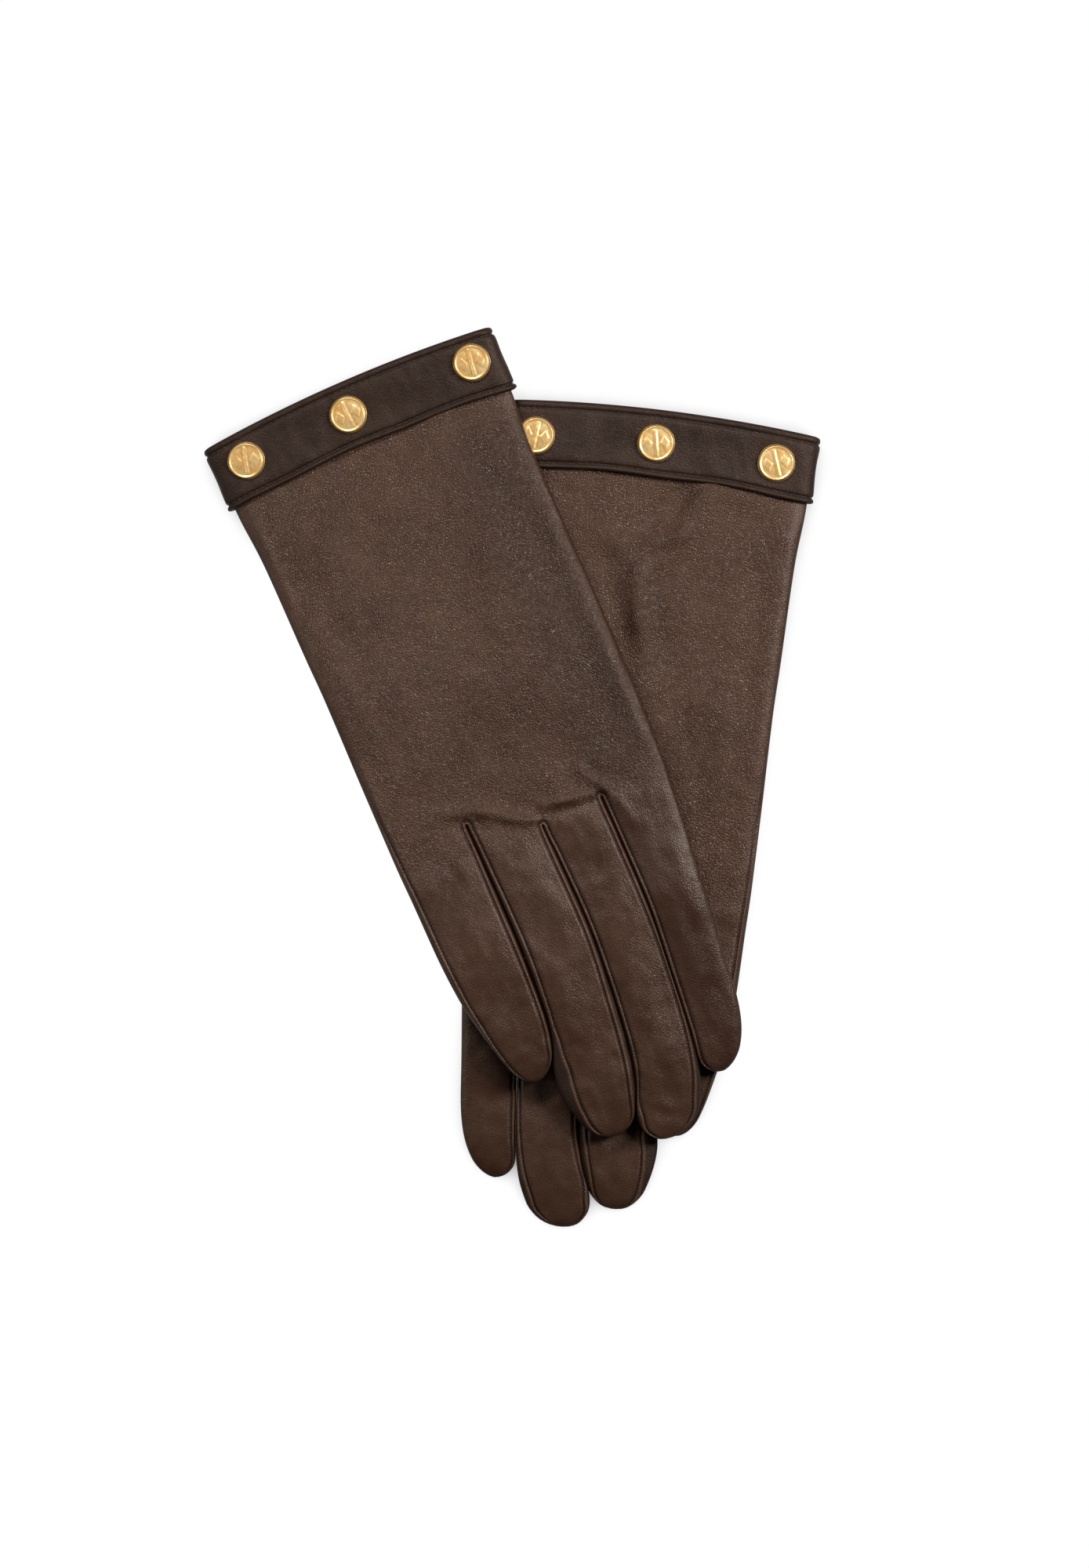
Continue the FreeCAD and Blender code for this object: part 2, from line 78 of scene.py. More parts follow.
class GloveFrame:
    """One glove's directions and origin, taken from its wrist and knuckle joints and its cuff band."""

    def __init__(self, side):
        wrist = joints[f"{side}_wrist"]
        start = np.array(wrist["pos_m"], float) * IN_PLAN
        knuckle = np.array(joints[f"{side}_middle_knuckle"]["pos_m"], float) * IN_PLAN
        self.side = side
        self.across = np.array(wrist["axis"], float)
        along = np.cross(UPWARDS, self.across)
        self.mirrored = along @ (knuckle - start) < 0
        self.along = -along if self.mirrored else along
        band = (node_points(f"{side}_cuff_band") - start) @ self.along
        self.origin = start + (band.min() - BAND_BACK * MM) * self.along
        self.wrist, self.knuckle = ((place - self.origin) @ self.along / MM for place in (start, knuckle))

    def turn(self, vectors):
        """Directions from the glove's own frame to the row frame."""
        up = vectors[..., 2:] * UPWARDS
        return vectors[..., :1] * self.across + vectors[..., 1:2] * self.along + up

    def to_row(self, points):
        """(across, along, up) in millimetres to the row frame in metres."""
        return self.origin + self.turn(np.asarray(points, float) * MM)

    def to_local(self, points):
        offset = points - self.origin
        return np.stack([offset @ self.across, offset @ self.along, points[:, 2]], 1) / MM


def sections(glove, node, marks=None):
    """The CAD piece's cross-sections: rows of (along, low, high, middle height, half thickness, tilt)."""
    mesh = frame["nodes"][node].data
    points = glove.to_local(node_points(node))
    edges = np.empty(len(mesh.edges) * 2, int)
    mesh.edges.foreach_get("vertices", edges)
    start, end = points[edges.reshape(-1, 2).T]
    if marks is None:
        places, counts = np.unique(points[:, 1].round(1), return_counts=True)
        marks = places[counts >= SECTION_POINTS]
    rows = []
    for mark in marks:
        at = np.clip(mark, points[:, 1].min() + CUT_MARGIN, points[:, 1].max() - CUT_MARGIN)
        crossing = (start[:, 1] - at) * (end[:, 1] - at) < 0
        a, b = start[crossing], end[crossing]
        if len(a) < CUT_EDGES:
            continue
        cut = a + (b - a) * ((at - a[:, 1]) / (b[:, 1] - a[:, 1]))[:, None]
        low, high = cut[:, 0].min(), cut[:, 0].max()
        low_level = cut[cut[:, 0] < low + EDGE_BAND, 2].mean()
        high_level = cut[cut[:, 0] > high - EDGE_BAND, 2].mean()
        tilt = (high_level - low_level) / (high - low)
        flat = cut[:, 2] - tilt * (cut[:, 0] - (low + high) / 2)
        rows.append((mark, low, high, (flat.max() + flat.min()) / 2, (flat.max() - flat.min()) / 2, tilt))
    return np.array(rows)


# ---- curves and noise

TIP_SOFTEN = (-0.6, -0.4, -0.2, 0.0, 0.2, 0.4, 0.6)  # the shifts over which a fingertip's curve is averaged


def smoothstep(x):
    x = np.clip(x, 0, 1)
    return x * x * (3 - 2 * x)


def bell(x, middle, width):
    """1 at the middle, falling to nothing beyond about two widths."""
    return np.exp(-(((x - middle) / width) ** 2))


def smooth_curve(x, y):
    """A cubic curve through points that never overshoots them, as a function."""
    x, y = np.asarray(x, float), np.asarray(y, float)
    step = np.diff(x)
    rise = np.diff(y) / step
    slope = np.empty_like(y)
    slope[0], slope[-1] = rise[0], rise[-1]
    same = rise[:-1] * rise[1:] > 0
    first, last = np.where(same, rise[:-1], 1), np.where(same, rise[1:], 1)
    heavy, light = 2 * step[1:] + step[:-1], step[1:] + 2 * step[:-1]
    slope[1:-1] = np.where(same, (heavy + light) / (heavy / first + light / last), 0)

    def value(at):
        at = np.clip(at, x[0], x[-1])
        i = np.clip(np.searchsorted(x, at, side="right") - 1, 0, len(x) - 2)
        f = (at - x[i]) / step[i]
        stay = y[i] * (1 + 2 * f) * (1 - f) ** 2 + y[i + 1] * f * f * (3 - 2 * f)
        lean = step[i] * (slope[i] * f * (1 - f) ** 2 - slope[i + 1] * f * f * (1 - f))
        return stay + lean

    return value


def tip_curve(tip, x, y):
    """A curve that closes roundly at x = tip, like a fingertip, averaged over a few millimetres."""
    value = smooth_curve(-np.sqrt(tip - np.asarray(x)), y)
    end = y[-1]

    def rounded(at):
        back = -np.sqrt(np.maximum(tip - at, 0))
        total = 0
        for shift in TIP_SOFTEN:
            place = back + shift * np.minimum(1, 4 / np.maximum(-back, 0.01))
            total = total + np.where(place > 0, 2 * end - value(-place), value(place))
        return total / len(TIP_SOFTEN)

    return rounded


def soft_noise(across, along, scale, seed):
    """Smooth noise of about -1 to 1, worked out on a coarse grid and spread from it."""
    step = scale / 3
    low = np.array([across.min(), along.min()]) - step
    count = (np.array([across.max(), along.max()]) - low) // step + 3
    grid = np.empty(count.astype(int))
    for i, j in np.ndindex(grid.shape):
        x, y = low + step * np.array([i, j])
        grid[i, j] = noise.noise(Vector((x / scale, y / scale, seed * 7.31)))
    x, y = (across - low[0]) / step, (along - low[1]) / step
    i, j = x.astype(int), y.astype(int)
    fx, fy = smoothstep(x - i), smoothstep(y - j)
    near = grid[i, j] * (1 - fx) + grid[i + 1, j] * fx
    far = grid[i, j + 1] * (1 - fx) + grid[i + 1, j + 1] * fx
    return 1.6 * (near * (1 - fy) + far * fy)


# ---- the leather skin's shape

ROUNDNESS = 3.7  # exponent of the rounded edge of hand and fingers
EDGE_REACH = 11.0  # how far in from an edge the hand is rounded
TIP_CLOSE = 0.9  # the fingertips close this far past the last CAD section
SKIN_START = 1.2  # the hand's leather begins just inside the cuff's mouth
CUFF_BOW, CUFF_HALF = 2.6, 50.0  # the cuff's edges curve out by this much at the middle of its width
CUFF_BOW_FADE = 40  # and the leather below them less, down to nothing here
CROTCH = [(-20.4, 144.0), (2.0, 153.5), (22.9, 152.5)]  # where the slits between the fingers start
OUTER_ROOT = (144.0, 152.5)  # root of the little and the index finger at the outer edges
OUTER_REACH_START = 150.0  # where the outer edges turn from the hand's roundness to the fingers'
SLIT_OPEN = 10.0  # length over which a slit opens to its full width
# the soft fingers swell towards each other by this much beyond the CAD's edges, less over the last
# few millimetres of their tips
SLIT_CLOSE, SLIT_CLOSE_FADE = 0.68, 7

# how far each seam's stitch line runs in from the finger's edge: (along, inset) for the low and high edge
SEAM_INSET = {
    "little": (
        [(100, 0.3), (140, 1.5), (155, 2.0), (180, 2.3), (200, 2.0), (215, 1.2), (226, 0.8)],
        [(144, 1.6), (180, 2.0), (210, 2.1), (218, 2.0), (226, 1.0)],
    ),
    "ring": (
        [(144, 1.6), (185, 2.1), (212, 1.6), (222, 3.4), (230, 5.4), (242, 3.5), (249, 1.9), (252, 0.9)],
        [(153, 1.3), (165, 2.0), (200, 2.1), (222, 2.8), (238, 3.0), (246, 2.6), (251, 1.2)],
    ),
    "middle": (
        [(153, 1.4), (235, 1.5), (245, 1.0), (252, 2.1), (257, 0.9)],
        [(152, 1.7), (185, 1.7), (210, 1.1), (230, 1.4), (243, 2.3), (252, 2.9), (257, 2.4)],
    ),
    "index": ([(152, 1.4), (235, 1.5), (246, 0.8)], [(152, 2.0), (246, 2.0)]),
}
SEAM_STRENGTH = {"little": (0.75, 1.0), "ring": (1.0, 1.0), "middle": (1.0, 1.0), "index": (1.0, 0.0)}
OUT_SEAM_START, OUT_SEAM_FADE = 100.0, 40  # the little finger side's seam comes round from below here
SLIT_SEAM_LEAD, SLIT_SEAM_FADE = 3.5, 2.5  # a seam starts this far before its slit, over this length
SEAM_TIP_FADE = 4  # and ends over this length at the fingertip

WALL_STEPS = (0.0, 0.3, 0.58, 0.82)  # side wall of a finger, as shares of its height at the lip
LIP_STEPS = (-1.45, -1.15, -0.85, -0.55, -0.3, -0.12, 0.05, 0.25, 0.5, 0.85, 1.3)
STITCH_STEP = 0.05  # the lip's column that the stitches lie on
MIDDLE_STEPS = 11
STRIP_COLUMNS = len(WALL_STEPS)  # the side strips take up the side wall
EDGE_COLUMNS = STRIP_COLUMNS + len(LIP_STEPS)
COLUMNS = 2 * EDGE_COLUMNS + MIDDLE_STEPS
FULL_HALF_WIDTH = 7  # a finger at least twice this wide has the full seam; a narrower one less
FINE_START = 25  # the columns gather towards the seams over this length before the slit


def rounding(distance, reach):
    """Share of full thickness at a distance in from an edge."""
    x = np.clip(distance / reach, 0, 1)
    return (1 - (1 - x) ** ROUNDNESS) ** (1 / ROUNDNESS)


def distance_of(share, reach):
    """The distance in from an edge where the thickness is this share of the full one."""
    return reach * (1 - (1 - share**ROUNDNESS) ** (1 / ROUNDNESS))


class Profile:
    """Edges, middle height and thickness of the hand and one finger, as functions of the place along it."""

    def __init__(self, glove, finger):
        self.number = FINGERS.index(finger)
        hand = np.vstack([sections(glove, f"{glove.side}_{part}") for part in ("gauntlet", "palm")])
        own = sections(glove, f"{glove.side}_{finger}_finger")
        self.tip = own[-1, 0] + TIP_CLOSE
        tip_centre = (own[-1, 1] + own[-1, 2]) / 2
        own = np.vstack([own, (self.tip, tip_centre, tip_centre, own[-1, 3], 0.0, own[-1, 5])])
        every = np.vstack([hand, own])
        self.outer = [tip_curve(self.tip, every[:, 0], every[:, k]) for k in (1, 2)]
        self.middle, self.half, self.tilt = (tip_curve(self.tip, every[:, 0], every[:, k]) for k in (3, 4, 5))
        self.own = [tip_curve(self.tip, own[:, 0], own[:, k]) for k in (1, 2)]
        self.hand = [smooth_curve(hand[:, 0], hand[:, k]) for k in (1, 2)]
        self.crotch = [None, *CROTCH, None][self.number : self.number + 2]
        self.root = [slit[1] if slit else outer for slit, outer in zip(self.crotch, OUTER_ROOT)]
        self.inset = [smooth_curve(*zip(*points)) for points in SEAM_INSET[finger]]
        self.strength = SEAM_STRENGTH[finger]

    def edge(self, end, along):
        """Where this finger's column of the hand ends: an outer edge, a slit, or a line up from a slit."""
        if self.crotch[end] is None:
            return self.outer[end](along)
        across, start = self.crotch[end]
        swell = SLIT_CLOSE * smoothstep((self.tip - along) / SLIT_CLOSE_FADE)
        own = self.own[end](along) - (1, -1)[end] * swell
        open_edge = across + (own - across) * smoothstep((along - start) / SLIT_OPEN)
        low, high = (edge(SKIN_START) for edge in self.hand)
        at_cuff = low + (high - low) * (self.number + end) / len(FINGERS)
        line = at_cuff + (across - at_cuff) * (along - SKIN_START) / (start - SKIN_START)
        return np.where(along >= start, open_edge, line)

    def edges(self, along):
        return self.edge(0, along), self.edge(1, along)

    def reach(self, end, along):
        """How far in from this edge the surface is rounded."""
        half_width = (self.own[1](along) - self.own[0](along)) / 2
        start = self.crotch[end][1] if self.crotch[end] else OUTER_REACH_START
        return EDGE_REACH + (half_width - EDGE_REACH) * smoothstep((along - start) / SLIT_OPEN)

    def distance(self, end, across, along):
        """How far in a point is from this edge, measured to the slit's start where the slit is ahead."""
        straight = np.maximum((1, -1)[end] * (across - self.edge(end, along)), 0)
        if self.crotch[end] is None:
            return straight
        crotch_across, crotch_along = self.crotch[end]
        ahead = np.hypot(across - crotch_across, crotch_along - along)
        return np.where(along >= crotch_along, straight, ahead)

    def seam_fade(self, end, along):
        """How much of this edge's seam shows: nothing before its start and at the fingertip."""
        strength = self.strength[end] * smoothstep((self.tip - along) / SEAM_TIP_FADE)
        if self.crotch[end] is None:
            return strength * smoothstep((along - OUT_SEAM_START) / OUT_SEAM_FADE)
        return strength * smoothstep((along - self.crotch[end][1] + SLIT_SEAM_LEAD) / SLIT_SEAM_FADE)

    def columns(self, along):
        """Across places of the grid's columns; along has one value for each row and column."""
        low, high = self.edges(along)
        width = high - low
        half = width / 2
        scale = np.clip(half / FULL_HALF_WIDTH, 0.05, 1)
        share = np.arange(COLUMNS) / (COLUMNS - 1)
        fine = np.empty_like(along)
        keep = [1.0, 1.0]
        for end in (0, 1):
            inset = np.minimum(self.inset[end](along), 0.5 * half)
            reach = np.maximum(np.minimum(self.reach(end, along), half), 0.001)
            first = np.maximum(inset + LIP_STEPS[0] * scale, 0.12 * inset)
            places = [distance_of(step * rounding(first, reach), reach) for step in WALL_STEPS]
            for step in LIP_STEPS:
                before = first + (inset - first) * (step - LIP_STEPS[0]) / -LIP_STEPS[0]
                places.append(np.where(step < 0, before, inset + step * scale))
            for number, place in enumerate(places):
                column = number if end == 0 else COLUMNS - 1 - number
                fine[:, column] = place[:, column] if end == 0 else (width - place)[:, column]
            if self.crotch[end] is not None:
                keep[end] = smoothstep(1 - (self.crotch[end][1] - along) / FINE_START)
        start, stop = fine[:, EDGE_COLUMNS - 1], fine[:, -EDGE_COLUMNS]
        for number in range(MIDDLE_STEPS):
            fine[:, EDGE_COLUMNS + number] = start + (stop - start) * (number + 1) / (MIDDLE_STEPS + 1)
        even = width * share
        return low + even + (fine - even) * (keep[0] * (1 - share) + keep[1] * share)


SEAM_GROOVE = (-0.5, 0.0, 0.32)  # height of the groove that the stitches pull in, its place and width
SEAM_LIP = (0.42, -0.8, 0.42)  # the lip outside the stitch line
SEAM_SWELL = (0.16, 1.0, 0.6)  # the swell inside it
MARK_WIDTH = 0.4  # width of the painted shade along the groove and of the lip's lighter colour


def seam_relief(x):
    """Height of the surface beside a seam; x is the distance inwards from the stitch line."""
    return sum(height * bell(x, place, width) for height, place, width in (SEAM_GROOVE, SEAM_LIP, SEAM_SWELL))


def seam_marks(x):
    """Where the seam's groove and its lip are, from 0 to 1, for the leather's colour."""
    return bell(x, 0, MARK_WIDTH), bell(x, SEAM_LIP[1], MARK_WIDTH)


def mouth_bow(across):
    return -CUFF_BOW * np.clip(1 - (across / CUFF_HALF) ** 2, 0, 1)


# Soft folds: (across, along) of both ends, height, width. The first list is on every glove, round the
# roots of the fingers; the others are each glove's own dents and ridges.
ROOT_FOLDS = [
    ((-24, 138), (-14, 142), 0.55, 2.0),
    ((-14, 141), (-3, 150), 0.5, 1.9),
    ((-26, 143), (-24, 150), 0.3, 1.4),
    ((-12, 136), (2, 147), -0.3, 2.6),
    ((-17, 146), (-10, 149), -0.35, 2.2),
    ((-4, 148), (1, 151), 0.35, 1.2),
    ((4, 147), (13, 149), 0.4, 1.6),
    ((6, 151), (19, 153), -0.4, 1.7),
    ((9, 148), (20, 150), 0.35, 1.3),
    ((20, 142), (24, 149), 0.4, 1.7),
    ((25, 147), (29, 163), 0.45, 1.9),
    ((23, 143), (34, 152), -0.25, 2.4),
    ((-34, 136), (-25, 139), 0.22, 2.2),
    ((-6, 131), (10, 141), 0.22, 3.0),
    ((12, 139), (26, 141), 0.2, 2.6),
]
OWN_FOLDS = {
    "right": [
        ((24, 22), (20, 116), 1.3, 10.5),
        ((-28, 48), (-20, 64), 0.7, 8.0),
        ((34, 30), (38, 50), 0.5, 4.5),
        ((26, 30), (30, 48), -0.35, 4.5),
        ((-12, 38), (4, 42), 0.4, 6.0),
        ((8, 66), (14, 88), 0.3, 6.0),
        ((42, 60), (43, 140), 0.4, 2.6),
        ((36, 70), (37, 136), -0.25, 3.4),
        ((-40, 66), (-36, 120), 0.35, 4.0),
        ((-33, 70), (-31, 110), -0.25, 3.5),
        ((-30, 96), (20, 112), 0.3, 10.0),
        ((-44, 24), (-44, 56), 0.25, 1.6),
        ((0, 249), (5, 253), 0.3, 0.8),
        ((-1, 251), (4, 255), -0.25, 0.7),
        ((4, 175), (14, 178), 0.15, 1.5),
        ((-26, 176), (-24, 212), 0.18, 1.8),
        ((8, 190), (9, 232), 0.2, 4.0),
        ((-12, 196), (-14, 230), 0.2, 4.0),
        ((30, 190), (29, 226), 0.2, 4.0),
    ],
    "left": [
        ((-18, 22), (-11, 36), 1.1, 4.2),
        ((-11, 36), (-3, 40), 0.7, 2.2),
        ((-7, 26), (1, 34), -1.0, 4.2),
        ((3, 48), (0, 66), 0.9, 3.2),
        ((-1, 66), (-8, 96), 0.8, 4.8),
        ((10, 42), (22, 36), 0.6, 3.4),
        ((12, 50), (4, 76), -0.7, 3.6),
        ((-4, 42), (10, 46), -0.5, 3.4),
        ((-28, 44), (-22, 84), 0.45, 6.0),
        ((-38, 40), (-37, 110), -0.35, 3.6),
        ((-45, 24), (-43, 110), 0.3, 1.8),
        ((-14, 100), (-20, 124), 0.5, 5.0),
    ],
}
ROOT_FOLD_STRENGTH, OWN_FOLD_STRENGTH = 1.7, 1.5
# uneven leather everywhere: (height, size) of the two sizes of swell on the back, and the palm's
BACK_SWELLS = ((0.5, 19.0), (0.12, 5.0))
PALM_SWELL = (0.25, 19.0)


def fold_height(across, along, folds):
    """Sum of soft ridges (or dents) along straight lines, each fading at its ends."""
    height = np.zeros_like(across)
    for (a0, l0), (a1, l1), rise, width in folds:
        run = np.array([a1 - a0, l1 - l0], float)
        length = np.hypot(*run)
        run /= length
        t = (across - a0) * run[0] + (along - l0) * run[1]
        off = (across - a0) * -run[1] + (along - l0) * run[0]
        past = np.maximum(np.maximum(-t, t - length), 0)
        height += rise * np.exp(-((off / width) ** 2) - (past / (1.2 * width)) ** 2)
    return height


# gaps between the grid's rows at the root of the fingers, on the hand, on a finger and at its tip
ROOT_GAP, HAND_GAP, FINGER_GAP, TIP_GAP = 0.35, 1.35, 1.15, 0.02
HAND_SPAN, FINGER_SPAN = 142, 90.0  # the lengths for which the rows are spaced


def grid_rows():
    """Row places: hand rows as shares from the cuff to the finger root, finger rows from root to tip."""
    gaps = [ROOT_GAP]
    while sum(gaps) < HAND_SPAN:
        gaps.append(min(gaps[-1] * 1.09, HAND_GAP))
    hand = 1 - np.cumsum([0] + gaps) / sum(gaps)
    places = [0.0]
    while places[-1] < FINGER_SPAN - TIP_GAP:
        start = min(ROOT_GAP * 1.12 ** len(places), FINGER_GAP)
        round_tip = 0.5 * math.sqrt(FINGER_SPAN - places[-1])
        places.append(places[-1] + min(start, max(round_tip, TIP_GAP)))
    finger = np.array(places[:-1] + [FINGER_SPAN]) / FINGER_SPAN
    return hand[::-1], finger[1:]


HAND_ROWS, FINGER_ROWS = grid_rows()
ROOT_ROW = len(HAND_ROWS) - 1  # the row at the roots of the fingers


def skin_grid(profile, side):
    """One finger's share of the glove: (rows, columns, 3) points of top and bottom, plain and detailed."""
    share = np.linspace(0, 1, COLUMNS)[None, :]
    root_guess = profile.root[0] + (profile.root[1] - profile.root[0]) * share
    low, high = profile.edges(root_guess)
    share = (profile.columns(root_guess) - low) / (high - low)
    share[:, 0], share[:, -1] = 0, 1
    root = profile.root[0] + (profile.root[1] - profile.root[0]) * share
    hand = SKIN_START + (root - SKIN_START) * HAND_ROWS[:, None]
    along = np.vstack([hand, root + (profile.tip - root) * FINGER_ROWS[:, None]])
    across = profile.columns(along)
    middle = (profile.hand[0](along) + profile.hand[1](along)) / 2
    level = profile.middle(along) + profile.tilt(along) * (across - middle)
    fullness = np.ones_like(along)
    relief, groove, lip = np.zeros((3, *along.shape))
    low, high = profile.edges(along)
    half = (high - low) / 2
    scale = np.clip(half / FULL_HALF_WIDTH, 0.05, 1)
    for end in (0, 1):
        distance = profile.distance(end, across, along)
        fullness *= rounding(distance, np.maximum(profile.reach(end, along), 0.01))
        strength = profile.seam_fade(end, along)
        x = (distance - np.minimum(profile.inset[end](along), 0.5 * half)) / scale
        relief += strength * scale * seam_relief(x)
        groove_here, lip_here = seam_marks(x)
        groove, lip = np.maximum(groove, strength * groove_here), np.maximum(lip, strength * lip_here)
    seed = 1.0 if side == "left" else 5.0
    soft = sum(
        height * soft_noise(across, along, size, seed + number)
        for number, (height, size) in enumerate(BACK_SWELLS)
    )
    soft += ROOT_FOLD_STRENGTH * fold_height(across, along, ROOT_FOLDS)
    soft += OWN_FOLD_STRENGTH * fold_height(across, along, OWN_FOLDS[side])
    inside = smoothstep(fullness * 1.6 - 0.55) * smoothstep(half / 3)
    soft *= inside
    under = PALM_SWELL[0] * soft_noise(across, along, PALM_SWELL[1], seed + 2) * inside
    thickness = profile.half(along) * fullness
    along = along + mouth_bow(across) * np.clip(1 - along / CUFF_BOW_FADE, 0, 1)
    top = np.stack([across, along, level + thickness], -1)
    bottom = np.stack([across, along, level - thickness], -1)
    marks = {"fullness": fullness, "groove": groove, "lip": lip, "fold": soft}
    return top, bottom, soft + relief, np.maximum(under, 0) - relief, marks


def number_grid(grids):
    """Vertex numbers for every grid point, with shared numbers where columns and sheets meet."""
    count = 0
    tops, bottoms = [], []
    for number, grid in enumerate(grids):
        shape = grid[0].shape[:2]
        for numbered in (tops, bottoms):
            ids = np.arange(count, count + shape[0] * shape[1]).reshape(shape)
            count += shape[0] * shape[1]
            if number > 0:
                ids[: ROOT_ROW + 1, 0] = numbered[-1][: ROOT_ROW + 1, -1]
            numbered.append(ids)
        top, bottom = tops[-1], bottoms[-1]
        for column, at_side in ((0, number == 0), (-1, number == len(grids) - 1)):
            first = 0 if at_side else ROOT_ROW
            bottom[first:, column] = top[first:, column]
        top[-1, :] = top[-1, 0]
        bottom[-1, :] = top[-1, 0]
    return tops, bottoms, count


def quads(ids, flip):
    """Faces of a grid of vertex numbers, as rows of four; a collapsed side leaves a repeated number."""
    a, b, c, d = ids[:-1, :-1], ids[:-1, 1:], ids[1:, 1:], ids[1:, :-1]
    faces = np.stack([a, b, c, d], -1)
    return faces[..., ::-1] if flip else faces


def vertex_normals(glove, points, faces):
    """Area-weighted outward normals from quads (a repeated corner makes a triangle of one)."""
    p = points[faces]
    area = np.cross(p[:, 2] - p[:, 0], p[:, 3] - p[:, 1])
    normals = np.zeros_like(points)
    for corner in range(4):
        np.add.at(normals, faces[:, corner], area)
    length = np.linalg.norm(normals, axis=1)
    handed = -1 if glove.mirrored else 1
    return handed * normals / np.maximum(length, 1e-12)[:, None]


# ---- making meshes

SKIN_WALL = 0.8
BEND_START, BEND_LENGTH = 1.5, 18.0  # beyond the knuckle line, the stretch passed to bend() for a finger
WRIST_BEND = 14.0  # either side of the wrist line


def new_object(name, mesh, body=None, replaces=()):
    made = bpy.data.objects.new(name, mesh)
    bpy.context.scene.collection.objects.link(made)
    if body:
        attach(made, body)
    if replaces:
        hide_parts(*replaces)
    return made


def add_attribute(mesh, name, kind, values):
    attribute = mesh.attributes.new(name, kind, "POINT")
    field = "vector" if kind == "FLOAT_VECTOR" else "value"
    attribute.data.foreach_set(field, np.asarray(values, np.float32).ravel())


def build_mesh(name, points, faces, normals, rest, extras, material):
    """A mesh from row-frame points, faces (lists) and one normal for each face corner, or no normals."""
    mesh = bpy.data.meshes.new(name)
    mesh.from_pydata(points.tolist(), [], faces)
    mesh.polygons.foreach_set("use_smooth", np.ones(len(mesh.polygons), bool))
    add_attribute(mesh, "rest", "FLOAT_VECTOR", rest)
    for key, values in extras.items():
        add_attribute(mesh, key, "FLOAT", values)
    mesh.materials.append(material)
    mesh.update()
    if normals is not None:
        mesh.normals_split_custom_set(normals)
    return mesh


def shell_mesh(name, glove, faces, outer, inner, outer_normals, inner_normals, extras, material):
    """A closed leather sheet: outer faces, inner faces turned over, and a rim round every open edge."""
    used, faces = np.unique(faces, return_inverse=True)
    faces = faces.reshape(-1, 4)
    count = len(used)
    lists, corners = [], []
    out_normals = glove.turn(outer_normals[used])
    in_normals = glove.turn(inner_normals[used])
    edges = {}
    for face in faces.tolist():
        ring = [v for k, v in enumerate(face) if v != face[k - 1]]
        if len(ring) < 3:
            continue
        lists.append(ring)
        corners.extend(out_normals[v] for v in ring)
        lists.append([v + count for v in reversed(ring)])
        corners.extend(in_normals[v] for v in reversed(ring))
        for k, v in enumerate(ring):
            if (v, ring[k - 1]) in edges:
                del edges[(v, ring[k - 1])]
            else:
                edges[(ring[k - 1], v)] = True
    points = np.vstack([glove.to_row(outer[used]), glove.to_row(inner[used])])
    for a, b in edges:
        rim = [b, a, a + count, b + count]
        lists.append(rim)
        across = np.cross(points[rim[1]] - points[rim[0]], points[rim[3]] - points[rim[0]])
        corners.extend([across / max(np.linalg.norm(across), 1e-15)] * 4)
    rest = np.vstack([outer[used], inner[used]])
    doubled = {key: np.tile(values[used], 2) for key, values in extras.items()}
    return build_mesh(name, points, lists, corners, rest, doubled, material)


def bend(piece, glove, part, start, end):
    """Bakes a piece's transform into its mesh; the places along the glove are worked out but not used, and
    nothing is bent.
    """
    places = {"start": glove.to_row([0, start, 0]), "end": glove.to_row([0, end, 0])}
    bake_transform(piece)


def bend_finger(piece, glove, finger):
    start = glove.knuckle + BEND_START
    bend(piece, glove, finger, start, start + BEND_LENGTH)


def bend_wrist(piece, glove):
    bend(piece, glove, "cuff", glove.wrist + WRIST_BEND, glove.wrist - WRIST_BEND)


# ---- the leather of the hand and fingers


def skin_faces(glove, tops, bottoms):
    """Faces of the hand, of each finger and of each side strip, under the name of its CAD node."""
    faces = {"hand": []}
    for number, (finger, top_ids, bottom_ids) in enumerate(zip(FINGERS, tops, bottoms)):
        strips = {}
        first, last = 0, COLUMNS - 1
        if number > 0:
            first = STRIP_COLUMNS
            strips[f"{finger}_fourchette_near_{FINGERS[number - 1]}"] = slice(0, first)
        if number < len(FINGERS) - 1:
            last -= STRIP_COLUMNS
            strips[f"{finger}_fourchette_near_{FINGERS[number + 1]}"] = slice(last, None)
        for ids, turned in ((top_ids, glove.mirrored), (bottom_ids, not glove.mirrored)):
            sheet = quads(ids, turned)
            faces["hand"].append(sheet[:ROOT_ROW].reshape(-1, 4))
            for key, columns in {f"{finger}_finger": slice(first, last), **strips}.items():
                faces.setdefault(key, []).append(sheet[ROOT_ROW:, columns].reshape(-1, 4))
    return {key: np.concatenate(parts) for key, parts in faces.items()}


def grain_strength(across, along):
    """How strongly the leather's pebble grain shows: most on the back of the hand, least on the fingers."""
    hand = smoothstep((47 - np.abs(across)) / 7) * smoothstep((160 - along) / 16)
    return 0.4 + 0.6 * hand


def painted_side_shade(glove, across, along):
    """Painted shade on the right glove, darker towards the thumb's side, below the cuff."""
    if not glove.mirrored:
        return np.zeros_like(across)
    return 0.75 * smoothstep((across - 12) / 18) * smoothstep((along - 24) / 10)


